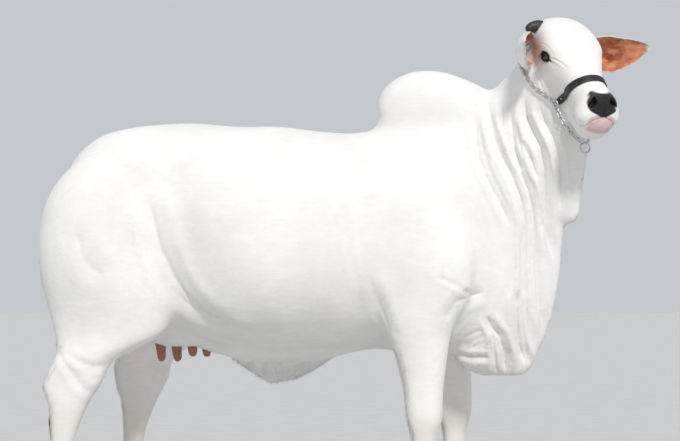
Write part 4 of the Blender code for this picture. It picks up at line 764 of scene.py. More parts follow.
def folds(places, facing):
    """How far the folds and wrinkles of the hide raise or sink each place."""
    rise = np.zeros(len(places))
    sideways = np.clip(np.abs(facing[:, 1]) * 1.6, 0, 1)
    for *depths, width, route in FOLDS + WRINKLES:
        away, fade = along_route(places[:, [0, 2]], route)
        deep = np.where(facing[:, 1] < 0, depths[0], depths[-1])
        rise += deep * fade * sideways * fold_profile(away, width)
    local = in_head(places)
    outward = np.clip(np.abs(facing @ np.array(HEAD.col[1])) * 1.6, 0, 1) * (np.abs(local[:, 1]) > 0.03)
    outward *= head_share(places)
    for depth, width, route in FACE_LINES:
        away, fade = along_route(local[:, [0, 2]], route)
        rise += depth * fade * outward * fold_profile(away, width)
    return rise


def sculpted(body):
    """Moves the surface in and out: muscles, bones, hollows, folds and the depth of the coat."""
    mesh = body.data
    places, facing = rows_of(mesh), rows_of(mesh, "normal")
    rise = np.zeros(len(places))
    for x, y, z, rx, ry, rz, height in SWELLINGS:
        for side in (-1, 1) if y else (1,):
            rise += swelling(places, (x, side * y, z), (rx, ry, rz), height)
    local = in_head(places)
    for u, v, w, ru, rv, rw, height in HEAD_SWELLINGS:
        for side in (-1, 1) if v else (1,):
            rise += swelling(local, (u, side * v, w), (ru, rv, rw), height)
    rise += folds(places, facing)
    face = head_share(places)
    rise -= COAT_DEPTH + (FACE_COAT_DEPTH - COAT_DEPTH) * face
    moved_to(mesh, places + facing * rise[:, None])


def head_share(places):
    """1 on the head, fading to 0 down the neck."""
    local = in_head(places)
    return ramp(local[:, 0] + 0.55 * local[:, 2], -0.20, -0.08) * ramp(places[:, 0], 0.86, 0.96)


def soft_share(places):
    """Where the joins of the big forms are eased: all but the head, the feet and the thin flaps."""
    x, z = places[:, 0], places[:, 2]
    share = np.clip((0.88 - x) / 0.16, 0, 1) * np.clip((z - 0.72) / 0.12, 0, 1)
    share *= 1 - 0.75 * np.clip((z - 1.57) / 0.05, 0, 1) * np.clip((x - 0.22) / 0.05, 0, 1)
    return np.maximum(share, 0.12)


def flesh():
    """Every form of the body, merged into one closed surface."""
    forms = [
        barrel(),
        hump(),
        neck(),
        wedge("dewlap", DEWLAP, 44),
        wedge("throat_flap", THROAT_FLAP, 24),
        navel_flap(),
        udder(),
        head_loft("skull", SKULL, 30),
        head_loft("jaw", JAW, 20),
    ]
    for rows, track, left_step, top in (
        (HIND_LEG, HIND_TRACK, LEFT_HIND_STEP, 1.2),
        (FORE_LEG, FORE_TRACK, LEFT_FORE_STEP, 1.1),
    ):
        forms += [leg("leg", rows, track, -1, 0.0, top), leg("leg", rows, track, 1, left_step, top)]
    body = remeshed(joined("skin", forms), SKIN_VOXEL)
    finer = (CAD_VOXEL / SKIN_VOXEL) ** 2
    relax(body, round(5 * finer))
    relax(body, round(36 * finer), soft_share(rows_of(body.data)))
    body = remeshed(joined("skin", [body, tail()]), SKIN_VOXEL)
    relax(body, 2)
    places = rows_of(body.data)
    refined(body, (places[:, 0] > 0.66) & (places[:, 2] > 0.57))
    places = rows_of(body.data)
    relax(body, 4, ramp(places[:, 0], 0.66, 0.70))
    refined(body, head_share(places) > 0.35)
    relax(body, 5, ramp(head_share(rows_of(body.data)), 0.35, 0.7))
    sculpted(body)
    return body


# The head's features


def eye_axes(side):
    """World directions of an eye: out along the gaze, forward along the lids, and up across them."""
    out = (HEAD @ mirrored(EYE_GAZE, side)).normalized()
    forward = (HEAD @ Vector((0.70, -0.48 * side, -0.18))).normalized()
    forward = (forward - out * forward.dot(out)).normalized()
    return out, forward, out.cross(forward).normalized() * side


def eye_centre(side):
    return head_point(*mirrored(EYE_SPOT, side))


def lid_edge(angle):
    """The edge of the lids at a turn round the eye: how far forward along them, and up across them."""
    rise = math.sin(angle)
    return LID_REACH * math.cos(angle), LID_HEIGHT * math.copysign(abs(rise) ** LID_POINT, rise)


def lid_opening(side):
    """The almond between the lids, as a cutter that runs out from the eyeball."""
    out, forward, up = eye_axes(side)
    rings = []
    for reach, size in ((0.002, 0.80), (0.012, 0.92), (0.020, 1.0), (0.026, 1.06), (0.045, 1.25)):
        ring = []
        for along, across in map(lid_edge, even_turns(40)):
            edge = forward * along + up * (across - LID_SLANT * along)
            ring.append(eye_centre(side) + out * reach + edge * size)
        rings.append(ring)
    return lofted("opening", rings)


def round_eye(places, side):
    """Places as seen by one eye: forward along the lids, up across them, and out."""
    out, forward, up = eye_axes(side)
    local = places - np.array(eye_centre(side))
    return local @ np.array(forward), local @ np.array(up), local @ np.array(out)


EYE_CREASES = (
    # distance from the eye, width, depth, and from where to where up the lid it fades in
    (0.0215, 0.0022, 0.0022, None),
    (0.0290, 0.0026, 0.0014, (-0.01, 0.02)),
    (0.0370, 0.0030, 0.0012, (0.0, 0.03)),
)


def with_eyes(skin):
    """Raises the lids over each eyeball, creases the skin round them and opens them."""
    for side, _ in SIDES:
        out, forward, up = eye_axes(side)
        place = Matrix((forward, up, out)).transposed()
        r = EYE_RADIUS + LID - FACE_COAT_DEPTH
        combined(skin, ball("lids", eye_centre(side), (r * 1.12, r, r), place, 40, 26), "UNION")
        away = np.linalg.norm(rows_of(skin.data) - np.array(eye_centre(side)), axis=1)
        relax(skin, 10, 1 - ramp(away, 0.030, 0.050))
        places, facing = rows_of(skin.data), rows_of(skin.data, "normal")
        along, across, reach = round_eye(places, side)
        oval_away = np.hypot(along / 1.45, across)
        depth = bell(across, -0.006 - 0.30 * (along - 0.024), 0.0030) * 0.0030  # the line of the tear duct
        depth *= ramp(along, 0.020, 0.030) * (1 - ramp(along, 0.050, 0.075))
        for distance, width, deep, fade in EYE_CREASES:
            depth += bell(oval_away, distance, width) * deep * (ramp(-across, *fade) if fade else 1)
        near = (reach > -0.02) & (oval_away < 0.06)
        moved_to(skin.data, places - facing * np.where(near, depth, 0)[:, None])
        combined(skin, ball("socket", eye_centre(side), [EYE_RADIUS + 0.0005] * 3, place), "DIFFERENCE")
        combined(skin, lid_opening(side), "DIFFERENCE")
    return skin


def with_nostrils(skin):
    """Comma-shaped openings that run back and inwards from the wings of the nose."""
    for side, _ in SIDES:
        along = (HEAD @ Vector((0.80, 0.50 * side, 0.30))).normalized()
        down = (HEAD @ Vector((0.40, 0.22 * side, -0.90))).normalized()
        down = (down - along * down.dot(along)).normalized()
        across = along.cross(down)
        centre = head_point(0.452, 0.0425 * side, -0.0165)
        steps = ((-0.036, 0.35), (-0.028, 0.62), (-0.013, 0.86), (0.0, 0.98), (0.012, 1.10), (0.030, 1.3))
        rings = []
        for reach, size in steps:
            ring = []
            for a in even_turns(36):
                far = 0.0225 * math.cos(a)
                wide = 0.0150 * math.sin(a) * (1 + 0.34 * math.cos(a)) + 0.0075 * math.cos(a) ** 2 * side
                ring.append(centre + along * reach + (down * far + across * wide) * size)
            rings.append(ring)
        combined(skin, lofted("nostril", rings), "DIFFERENCE")
    return skin


MOUTH = (
    # the line of the mouth, from the front of the lips back along the left side
    (0.494, 0.000, -0.054),
    (0.494, 0.020, -0.057),
    (0.491, 0.038, -0.066),
    (0.487, 0.051, -0.082),
    (0.480, 0.061, -0.104),
    (0.464, 0.070, -0.120),
    (0.436, 0.074, -0.130),
    (0.400, 0.073, -0.137),
)


def mouth_line(count):
    """Points along the line of the mouth from the right to the left, in the head's frame."""
    other = [(u, -v, w) for u, v, w in MOUTH[:0:-1]]
    return eased([*other, *MOUTH], count)


def with_mouth(skin):
    """Cuts the line of the mouth as a groove that follows the lips."""
    tree = surface_tree(skin)
    core = head_point(0.40, 0, -0.075)
    points = []
    for p in [head_point(*q) for q in mouth_line(61)]:
        hit = tree.ray_cast(p + (p - core).normalized() * 0.08, core - p)[0]
        points.append((hit or p) - (p - core).normalized() * 0.0006)
    shares = [math.sin(math.pi * (i + 0.5) / len(points)) ** 0.5 for i in range(len(points))]
    groove = tube("groove", points, [0.0030 * (0.35 + 0.65 * s) for s in shares], 10)
    return combined(skin, groove, "DIFFERENCE")


EAR = (
    # share of the length, half width, depth of the cup, lift of the middle line
    (-0.08, 0.032, 0.030, 0.000),
    (0.06, 0.043, 0.038, 0.000),
    (0.18, 0.056, 0.042, -0.004),
    (0.32, 0.068, 0.038, -0.009),
    (0.46, 0.070, 0.031, -0.012),
    (0.60, 0.060, 0.021, -0.012),
    (0.74, 0.048, 0.016, -0.009),
    (0.87, 0.032, 0.010, -0.005),
    (0.96, 0.016, 0.005, 0.000),
    (1.00, 0.005, 0.002, 0.000),
)
EAR_LENGTH = 0.272
EARS = {
    # side: root, tip, the way the cup opens, all in the head's frame, and how deep the cup is
    -1: (Vector((0.050, -0.084, -0.112)), Vector((0.196, -0.252, 0.044)), Vector((0.46, 0.79, 0.40)), 1.35),
    1: (Vector((0.078, 0.090, -0.094)), Vector((0.172, 0.318, 0.036)), Vector((0.62, -0.50, 0.30)), 1.0),
}


def ear_axes(side):
    root, tip, opening, _ = EARS[side]
    root, tip = head_point(*root), head_point(*tip)
    along = (tip - root).normalized()
    mouth = HEAD @ opening
    mouth = (mouth - along * mouth.dot(along)).normalized()
    return root, along, mouth, mouth.cross(along).normalized() * side


EAR_THICK = 0.0060
INNER_EARS = {}


def ear(side):
    """A leaf-shaped cup with soft ridges inside and, in the left one, a deep canal."""
    root, along, mouth, up = ear_axes(side)
    deep = EARS[side][3]
    rings, sheet = [], []
    for share, half, cup, lift in eased(EAR, 56):
        centre = root + along * (EAR_LENGTH * share) + up * lift
        thick = EAR_THICK - 0.0025 * max(share, 0)
        fade = max(min(share * 6, 1, (0.8 - share) * 3), 0)
        outer, inner = [], []
        for t in np.linspace(-1, 1, 41):
            across = up * (half * math.sin(t * math.pi / 2))
            bowl = deep * cup * (math.cos(t * math.pi / 2) ** 0.8 if abs(t) < 1 else 0)
            ridge = 0.0055 * bell(t, 0.24 + 0.15 * share, 0.09)
            ridge += 0.0030 * bell(t, -0.02, 0.07) + 0.0026 * bell(t, -0.62, 0.10)
            canal = 0.026 * bell(share, 0.40, 0.060) * bell(t, -0.24, 0.15) if side > 0 else 0
            shell = thick * (1 - 0.6 * abs(t))
            outer.append(centre + across - mouth * (bowl + shell + 0.75 * canal))
            hollow = bowl - 0.1 * thick - ridge * fade + canal * 0.75
            inner.append(centre + across * 0.97 - mouth * max(hollow, 0))
        rings.append(outer + inner[::-1])
        sheet.append(inner)
    wide = len(sheet[0])
    starts = [i * wide + k for i in range(len(sheet) - 1) for k in range(wide - 1)]
    faces = [(a, a + 1, a + wide + 1, a + wide) for a in starts]
    INNER_EARS[side] = BVHTree.FromPolygons(sum(sheet, []), faces)
    return lofted("ear", rings)


def in_ear(places, side):
    """Places as seen by one ear, from its root: along it, across it, out of its cup, and how far off."""
    root, *directions = ear_axes(side)
    local = places - np.array(root)
    along, out, across = (local @ np.array(direction) for direction in directions)
    return along, across, out, np.linalg.norm(local, axis=1)


def with_ears(skin):
    for side, _ in SIDES:
        combined(skin, ear(side), "UNION")
        along, _, _, away = in_ear(rows_of(skin.data), side)
        relax(skin, 5, (1 - ramp(away, 0.070, 0.095)) * (1 - ramp(along, 0.020, 0.045)))
    return skin


def inside_ear(places, facing):
    """How far each place is on the bare inner face of an ear."""
    found = np.zeros(len(places))
    shares, halves, _, lifts = zip(*EAR)
    for side, _ in SIDES:
        along, across, _, distance = in_ear(places, side)
        share = along / EAR_LENGTH
        opens = ramp(facing @ np.array(ear_axes(side)[2]), -0.60, -0.20)
        opens *= ramp(share, 0.02, 0.09) * (1 - ramp(share, 0.955, 0.985))
        near = np.flatnonzero((opens > 0) & (distance < 1.1 * EAR_LENGTH))
        away = np.array([INNER_EARS[side].find_nearest(Vector(places[i]))[3] for i in near])
        rim = np.abs(across[near] - np.interp(share[near], shares, lifts))
        rim = rim / np.interp(share[near], shares, halves)
        inner = (1 - ramp(away, 0.0032, 0.0068)) * (1 - ramp(rim, 0.95, 1.02))
        found[near] = np.maximum(found[near], opens[near] * inner)
    return found


# Markings: how dark, pink, warm and eared the skin and the coat are at a place

PAD_MIDDLE = -0.0215  # w of the middle of the nose pad


def marks_at(places, facing):
    """Four shares from 0 to 1: dark bare skin, pink bare skin, warm stain, and the ear's inner face."""
    local = in_head(places)
    u, v, w = local.T
    dark = np.zeros(len(places))
    for side, _ in SIDES:
        along, across, reach = round_eye(places, side)
        lids = 1 - ramp(np.hypot((along + 0.001) / 1.22, across + LID_SLANT * along), 0.0195, 0.0235)
        corner = 1 - ramp(np.abs(across + 0.007 + 0.30 * (along - 0.024)), 0.0030, 0.0055)
        corner *= ramp(along, 0.010, 0.018) * (1 - ramp(along, 0.030, 0.038))
        near = ramp(reach, -0.012, 0.0) * (1 - ramp(reach, 0.030, 0.045))
        dark = np.maximum(dark, np.maximum(lids, corner) * near)
    rise = w - PAD_MIDDLE
    reach_down = 0.0255 + 0.010 * bell(v, 0, 0.022) * (rise < 0)
    reach_across = 0.0665 - 0.50 * np.maximum(rise, 0)
    pad = (np.abs(v) / reach_across) ** 3 + (np.abs(rise) / reach_down) ** 3
    front = u - 0.9 * np.maximum(np.abs(v) - 0.045, 0)
    dark = np.maximum(dark, (1 - ramp(pad, 0.84, 1.10)) * ramp(front, 0.398, 0.411))
    nearest = np.full(len(places), 1.0)
    height = np.zeros(len(places))
    for p in mouth_line(41):
        away = np.linalg.norm(local - p, axis=1)
        nearer = away < nearest
        nearest[nearer] = away[nearer]
        height[nearer] = (w - p[2])[nearer]
    above = ramp(height, -0.001, 0.002)
    lower = (1 - ramp(-w, 0.104, 0.120)) * (1 - ramp(np.abs(v), 0.046, 0.060)) * (1 - above)
    upper = (1 - ramp(nearest, 0.012, 0.018)) * above * (1 - ramp(np.abs(v), 0.050, 0.064))
    pink = np.maximum(lower, upper) * ramp(u, 0.440, 0.462) * (1 - dark)
    low = (1 - ramp(places[:, 2], 0.20, 0.62)) * (places[:, 0] < 0.8)
    warm = 0.8 * low + swelling(places, (-0.86, 0.0, 0.95), (0.14, 0.13, 0.30), 0.35)
    return np.stack([dark, pink, np.clip(warm, 0, 1), inside_ear(places, facing)], axis=1)


def marked(obj, marks):
    colours = obj.data.color_attributes.new(name="marks", type="FLOAT_COLOR", domain="POINT")
    colours.data.foreach_set("color", np.asarray(marks, np.float32).ravel())


# Materials


def material(name):
    made = bpy.data.materials.new(name)
    made.use_nodes = True
    tree = made.node_tree
    return made, tree, tree.nodes["Principled BSDF"]


def node(tree, kind, **settings):
    made = tree.nodes.new(kind)
    for key, value in settings.items():
        if key in made.inputs:
            made.inputs[key].default_value = value
        else:
            setattr(made, key, value)
    return made


def place_texture(tree, kind, scale, stretch=(1, 1, 1), **settings):
    """The grey value of a procedural texture in the object's own metres."""
    where = node(tree, "ShaderNodeTexCoord")
    sized = node(tree, "ShaderNodeMapping", Scale=stretch)
    tree.links.new(where.outputs["Object"], sized.inputs["Vector"])
    made = node(tree, f"ShaderNodeTex{kind}", Scale=scale, **settings)
    tree.links.new(sized.outputs["Vector"], made.inputs["Vector"])
    return made.outputs["Distance" if kind == "Voronoi" else "Fac"]


def blended(tree, factor, first, second):
    """A colour mix; each input is a socket or a plain colour."""
    mix = node(tree, "ShaderNodeMix", data_type="RGBA")
    for socket, value in ((mix.inputs[0], factor), (mix.inputs[6], first), (mix.inputs[7], second)):
        if isinstance(value, bpy.types.NodeSocket):
            tree.links.new(value, socket)
        elif isinstance(value, (int, float)):
            socket.default_value = value
        else:
            socket.default_value = (*value, 1)
    return mix.outputs[2]


def ranged(tree, value, low, high, to_low=0.0, to_high=1.0):
    limits = {"From Min": low, "From Max": high, "To Min": to_low, "To Max": to_high}
    step = node(tree, "ShaderNodeMapRange", **limits)
    tree.links.new(value, step.inputs["Value"])
    return step.outputs[0]


def toned(tree, grey, low, high, first, second):
    """One colour where a texture is dark and another where it is light."""
    return blended(tree, ranged(tree, grey, low, high), first, second)


def bumped(tree, shader, layers):
    """Stacks bump from (height socket, strength, distance) layers."""
    last = None
    for height, strength, distance in layers:
        bump = node(tree, "ShaderNodeBump", Strength=strength, Distance=distance)
        tree.links.new(height, bump.inputs["Height"])
        if last:
            tree.links.new(last, bump.inputs["Normal"])
        last = bump.outputs["Normal"]
    if last:
        tree.links.new(last, shader.inputs["Normal"])


def hide_material():
    """White coat over grey skin, with dark and pink bare skin where the marks say so."""
    made, tree, shader = material("hide")
    marks = node(tree, "ShaderNodeAttribute", attribute_name="marks")
    parts = node(tree, "ShaderNodeSeparateColor")
    tree.links.new(marks.outputs["Color"], parts.inputs["Color"])
    dark, pink, warm = parts.outputs
    broad = place_texture(tree, "Noise", 3.5, Detail=5.0, Roughness=0.6)
    fine = place_texture(tree, "Noise", 60.0, (0.35, 1, 1), Detail=4.0, Roughness=0.6)
    hair = place_texture(tree, "Noise", 420.0, (0.22, 1, 0.6), Detail=3.0, Roughness=0.65)
    blotch = place_texture(tree, "Noise", 26.0, Detail=3.0)
    cells = place_texture(tree, "Voronoi", 380.0)
    pebbles = place_texture(tree, "Voronoi", 260.0)
    white = toned(tree, broad, 0.35, 0.68, (0.90, 0.89, 0.87), (0.80, 0.79, 0.775))
    white = blended(tree, ranged(tree, fine, 0.35, 0.75, 0.0, 0.30), white, (0.72, 0.70, 0.68))
    coated = blended(tree, ranged(tree, warm, 0.0, 1.0, 0.0, 0.55), white, (0.62, 0.54, 0.44))
    ear_skin = toned(tree, fine, 0.3, 0.7, (0.30, 0.075, 0.032), (0.62, 0.20, 0.090))
    ear_skin = toned(tree, blotch, 0.42, 0.66, ear_skin, (0.72, 0.31, 0.17))
    coated = blended(tree, marks.outputs["Alpha"], coated, ear_skin)
    coated = blended(tree, pink, coated, toned(tree, fine, 0.3, 0.7, (0.58, 0.41, 0.40), (0.71, 0.54, 0.53)))
    dark_skin = toned(tree, fine, 0.3, 0.8, (0.012, 0.011, 0.012), (0.050, 0.046, 0.048))
    dark_skin = toned(tree, pebbles, 0.0, 0.6, dark_skin, (0.008, 0.007, 0.008))
    tree.links.new(blended(tree, dark, coated, dark_skin), shader.inputs["Base Color"])
    tree.links.new(ranged(tree, dark, 0.0, 1.0, 0.78, 0.30), shader.inputs["Roughness"])
    for name, value in (("Sheen Weight", 0.25), ("Sheen Roughness", 0.4), ("Specular IOR Level", 0.35)):
        shader.inputs[name].default_value = value
    pebbled = node(tree, "ShaderNodeMath", operation="MULTIPLY")
    tree.links.new(pebbles, pebbled.inputs[0])
    tree.links.new(dark, pebbled.inputs[1])
    layers = [(hair, 0.30, 0.0010), (fine, 0.26, 0.0026), (cells, 0.10, 0.0010)]
    bumped(tree, shader, [*layers, (pebbled.outputs[0], 0.55, 0.0022)])
    return made


def surface(name, textures, tones, rough, bumps, **constants):
    """A material whose colour, roughness and bump are read from a few textures.

    textures: kind, scale, stretch and settings of each. tones: which texture, from, to, and two colours.
    rough: one number, or which texture and its two ends. bumps: which texture, strength and distance.
    """
    made, tree, shader = material(name)
    greys = [place_texture(tree, *texture, **settings) for *texture, settings in textures]
    which, *blend = tones
    tree.links.new(toned(tree, greys[which], *blend), shader.inputs["Base Color"])
    if isinstance(rough, tuple):
        which, *ends = rough
        tree.links.new(ranged(tree, greys[which], 0.3, 0.7, *ends), shader.inputs["Roughness"])
    else:
        shader.inputs["Roughness"].default_value = rough
    for socket, value in constants.items():
        shader.inputs[socket].default_value = value
    bumped(tree, shader, [(greys[which], strength, distance) for which, strength, distance in bumps])
    return made


def growing(name, ring_scale, low, high):
    """Dark horn with growth rings across Z."""
    rings = ("Noise", ring_scale, (0.10, 0.10, 1.0), {"Detail": 4.0})
    grain = ("Noise", 300.0, (1, 1, 0.15), {"Detail": 3.0})
    bumps = ((0, 0.45, 0.0020), (1, 0.25, 0.0006))
    return surface(name, (rings, grain), (0, 0.35, 0.65, low, high), (1, 0.38, 0.62), bumps)


def haired(name, low, high):
    strand = ("Noise", 500.0, (1, 1, 0.08), {"Detail": 3.0})
    return surface(name, (strand,), (0, 0.3, 0.7, low, high), 0.5, ((0, 0.4, 0.0008),))


EVEN = (1, 1, 1)
WET = {"Coat Weight": 1.0, "Coat Roughness": 0.03}
MATERIALS = {
    "hide": hide_material(),
    "eye": surface(
        "wet_eye", (("Noise", 160.0, EVEN, {"Detail": 4.0}),),
        (0, 0.35, 0.7, (0.004, 0.003, 0.003), (0.030, 0.014, 0.008)), 0.08, ((0, 0.05, 0.0004),), **WET,
    ),
    "horn": growing("black_horn", 160.0, (0.012, 0.012, 0.014), (0.050, 0.048, 0.050)),
    "hoof": growing("dark_hoof", 120.0, (0.030, 0.027, 0.024), (0.085, 0.076, 0.066)),
    "teat": surface(
        "bare_teat", (("Noise", 260.0, (0.4, 0.4, 1), {"Detail": 4.0}),),
        (0, 0.3, 0.7, (0.25, 0.090, 0.065), (0.42, 0.19, 0.14)), 0.55, ((0, 0.30, 0.0010),),
    ),
    "switch": haired("switch_black", (0.006, 0.005, 0.005), (0.030, 0.025, 0.022)),
    "lash": haired("lash_dark", (0.012, 0.010, 0.010), (0.050, 0.045, 0.042)),
    "strap": surface(
        "strap_leather", (("Voronoi", 900.0, EVEN, {}), ("Noise", 45.0, EVEN, {"Detail": 6.0})),
        (1, 0.45, 0.75, (0.008, 0.008, 0.009), (0.030, 0.028, 0.027)), (1, 0.36, 0.58),
        ((0, 0.35, 0.0006), (1, 0.15, 0.0010)),
    ),
    "steel": surface(
        "plated_steel", (("Noise", 120.0, EVEN, {"Detail": 5.0}),),
        (0, 0.40, 0.72, (0.66, 0.66, 0.68), (0.42, 0.41, 0.40)), (0, 0.20, 0.42), ((0, 0.12, 0.0006),),
        Metallic=1.0,
    ),
    "thread": surface(
        "waxed_thread", (("Wave", 900.0, EVEN, {"Distortion": 2.0}),),
        (0, 0.0, 1.0, (0.05, 0.05, 0.05), (0.11, 0.10, 0.10)), 0.6, ((0, 0.4, 0.0003),),
    ),
}


SHIFT = (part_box("eye_left")[0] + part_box("eye_left")[1]) / 2 - eye_centre(1)


def shown(obj, look, nodes=(), smooth=True, sharp=None):
    """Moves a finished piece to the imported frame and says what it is."""
    obj.data.transform(Matrix.Translation(SHIFT))
    obj.data.materials.clear()
    obj.data.materials.append(MATERIALS[look])
    if smooth:
        obj.data.shade_smooth()
    if sharp:
        obj.data.set_sharp_from_angle(angle=math.radians(sharp))
    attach(obj, "root")
    if nodes:
        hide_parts(*nodes)
    return obj


# The coat

UNWRAP_FACES = 24000
PATCH = 0.003  # the size of a tuft's patch on the map
ROOT_DEPTH = 0.0010  # how far a tuft's root lies under the skin


class Ground:
    """The skin as arrays, with a rough unwrap of its shape for the tufts' UV map."""

    def __init__(self, skin):
        mesh = skin.data
        mesh.calc_loop_triangles()
        self.places = rows_of(mesh)
        self.facing = rows_of(mesh, "normal")
        corners = np.empty(len(mesh.loop_triangles) * 3, np.int32)
        mesh.loop_triangles.foreach_get("vertices", corners)
        self.triangles = corners.reshape(-1, 3)
        a, b, c = (self.places[self.triangles[:, i]] for i in range(3))
        self.areas = np.linalg.norm(np.cross(b - a, c - a), axis=1) / 2
        self.middles = (a + b + c) / 3
        self.normals = self.facing[self.triangles].mean(axis=1)
        self.rough = self.unwrapped(skin)

    def unwrapped(self, skin):
        rough = placed("rough", skin.data.copy())
        rough.modifiers.new("thin", "DECIMATE").ratio = UNWRAP_FACES / len(self.triangles)
        applied(rough)
        bpy.ops.object.select_all(action="DESELECT")
        rough.select_set(True)
        bpy.context.view_layer.objects.active = rough
        bpy.ops.object.mode_set(mode="EDIT")
        bpy.ops.mesh.select_all(action="SELECT")
        bpy.ops.mesh.quads_convert_to_tris()
        bpy.ops.uv.smart_project(angle_limit=math.radians(66), island_margin=0.004)
        bpy.ops.object.mode_set(mode="OBJECT")
        mesh = rough.data
        points = [v.co.copy() for v in mesh.vertices]
        faces = [tuple(f.vertices) for f in mesh.polygons]
        uvs = np.empty(len(mesh.loops) * 2, np.float32)
        mesh.uv_layers.active.uv.foreach_get("vector", uvs)
        corners = np.array([[tuple(points[i]) for i in f] for f in faces])
        removed(rough)
        return BVHTree.FromPolygons(points, faces), corners, uvs.reshape(-1, 3, 2)

    def map_places(self, places):
        """Where each place lies on the unwrap."""
        tree, corners, uvs = self.rough
        found = [tree.find_nearest(Vector(p)) for p in places]
        face = np.array([f[2] for f in found])
        spot = np.array([tuple(f[0]) for f in found])
        a, b, c = (corners[face, i] for i in range(3))
        across, along, rest = b - a, c - a, spot - a
        d00, d01, d11 = (across**2).sum(1), (across * along).sum(1), (along**2).sum(1)
        d20, d21 = (rest * across).sum(1), (rest * along).sum(1)
        scale = np.maximum(d00 * d11 - d01 * d01, 1e-18)
        share_b = np.clip((d11 * d20 - d01 * d21) / scale, 0, 1)[:, None]
        share_c = np.clip((d00 * d21 - d01 * d20) / scale, 0, 1)[:, None]
        return uvs[face, 0] * (1 - share_b - share_c) + uvs[face, 1] * share_b + uvs[face, 2] * share_c

    def sown(self, count, weight, draw):
        """Random places on the skin, by a weight per triangle: place, normal."""
        share = np.cumsum(self.areas * weight)
        chosen = np.searchsorted(share, draw.random(count) * share[-1])
        r1, r2 = np.sqrt(draw.random(count)), draw.random(count)
        parts = np.stack([1 - r1, r1 * (1 - r2), r1 * r2], axis=1)[:, :, None]
        corners = self.triangles[chosen]
        normal = (self.facing[corners] * parts).sum(axis=1)
        normal /= np.linalg.norm(normal, axis=1)[:, None]
        return (self.places[corners] * parts).sum(axis=1), normal


def lie_of_coat(places, normal):
    """The way the hair points at each place, along the skin."""
    flow = np.tile((-1.0, 0.0, -0.45), (len(places), 1))
    x, z = places[:, 0], places[:, 2]

    def blend(direction, share):
        nonlocal flow
        flow = flow * (1 - share[:, None]) + np.asarray(direction) * share[:, None]

    blend((-0.45, 0.0, -1.0), ramp(x, 0.60, 0.85))
    blend((0.0, 0.0, -1.0), 1 - ramp(z, 0.62, 0.85))
    blend((0.1, 0.0, -1.0), 1 - ramp(x, -1.0, -0.88))
    down_face = ramp(head_share(places), 0.4, 0.8) * ramp(in_head(places)[:, 0], -0.02, 0.05)
    blend(HEAD.col[0] * 0.9 - HEAD.col[2] * 0.2, down_face)
    for side, _ in SIDES:
        along, _, _, distance = in_ear(places, side)
        share, off = along / EAR_LENGTH, np.sqrt(np.maximum(distance**2 - along**2, 0))
        blend(ear_axes(side)[1], ramp(share, 0.05, 0.18) * (off < 0.09) * (share < 1.1))
    flow -= normal * (flow * normal).sum(axis=1)[:, None]
    length = np.linalg.norm(flow, axis=1)[:, None]
    return flow / np.maximum(length, 1e-6)


def tuft_mesh(name, ground, places, normal, lie, length, width, lift, bend, draw, rows=3, plain=False):
    """Many flat tapered tufts as one mesh, each a bent blade shaded like the skin."""
    count = len(places)
    turn = draw.normal(0, 0.22, count)
    side = np.cross(lie, normal)
    lie = lie * np.cos(turn)[:, None] + side * np.sin(turn)[:, None]
    side = np.cross(lie, normal)
    length = length * draw.uniform(0.7, 1.25, count)
    width = width * draw.uniform(0.7, 1.3, count)
    lift = lift * draw.uniform(0.4, 1.4, count)
    drop = np.asarray(bend)
    steps = np.linspace(0, 1, rows)
    blades, patches = [], []
    for i, s in enumerate(steps):
        up = -ROOT_DEPTH + lift * math.sin(0.5 * math.pi * min(s * 1.3, 1)) ** 0.8
        middle = places + lie * (length * s)[:, None] + normal * up[:, None]
        middle = middle + drop * (length * s * s)[:, None]
        if i == rows - 1:
            blades.append(middle)
            patches.append((0.0, 1.0))
        else:
            half = (width * 0.5 * (1 - s) ** 0.55)[:, None] * side
            blades += [middle - half, middle + half]
            patches += [(-0.5, s), (0.5, s)]
    points = np.stack(blades, axis=1)
    each = points.shape[1]
    pattern = []
    for i in range(rows - 2):
        a = 2 * i
        pattern += [(a, a + 1, a + 3), (a, a + 3, a + 2)]
    pattern.append((each - 3, each - 2, each - 1))
    pattern = np.array(pattern)
    faces = (np.arange(count)[:, None, None] * each + pattern[None]).reshape(-1, 3)
    root_uv = ground.map_places(places)
    patch = (np.array(patches) - (0.0, 0.5)) * PATCH
    uv = (root_uv[:, None, :] + patch[None]).reshape(-1, 2)
    marks = marks_at(places, normal)
    if plain:
        marks[:, 3] = 0
    made = triangle_mesh(name, points.reshape(-1, 3), faces, uv, np.repeat(marks, each, axis=0))
    shading = normal + side * draw.normal(0, 0.16, count)[:, None]
    shading = shading + lie * draw.normal(0.05, 0.08, count)[:, None]
    shading /= np.linalg.norm(shading, axis=1)[:, None]
    made.data.shade_smooth()
    made.data.normals_split_custom_set_from_vertices(np.repeat(shading, each, axis=0).tolist())
    return made


def triangle_mesh(name, points, faces, uv=None, marks=None):
    mesh = bpy.data.meshes.new(name)
    mesh.vertices.add(len(points))
    mesh.vertices.foreach_set("co", np.asarray(points, np.float32).ravel())
    mesh.loops.add(faces.size)
    mesh.loops.foreach_set("vertex_index", faces.astype(np.int32).ravel())
    mesh.polygons.add(len(faces))
    mesh.polygons.foreach_set("loop_start", np.arange(0, faces.size, 3, dtype=np.int32))
    mesh.update(calc_edges=True)
    made = placed(name, mesh)
    if uv is not None:
        layer = mesh.uv_layers.new(name="OFBake")
        layer.uv.foreach_set("vector", np.asarray(uv[faces.ravel()], np.float32).ravel())
    if marks is not None:
        marked(made, marks)
    return made


def bare_share(places, facing):
    """Where no coat grows: the eyes, the nose, the lips and inside the ears."""
    marks = marks_at(places, facing)
    return np.clip(marks[:, 0] * 2 + marks[:, 1] * 2 + marks[:, 3], 0, 1)


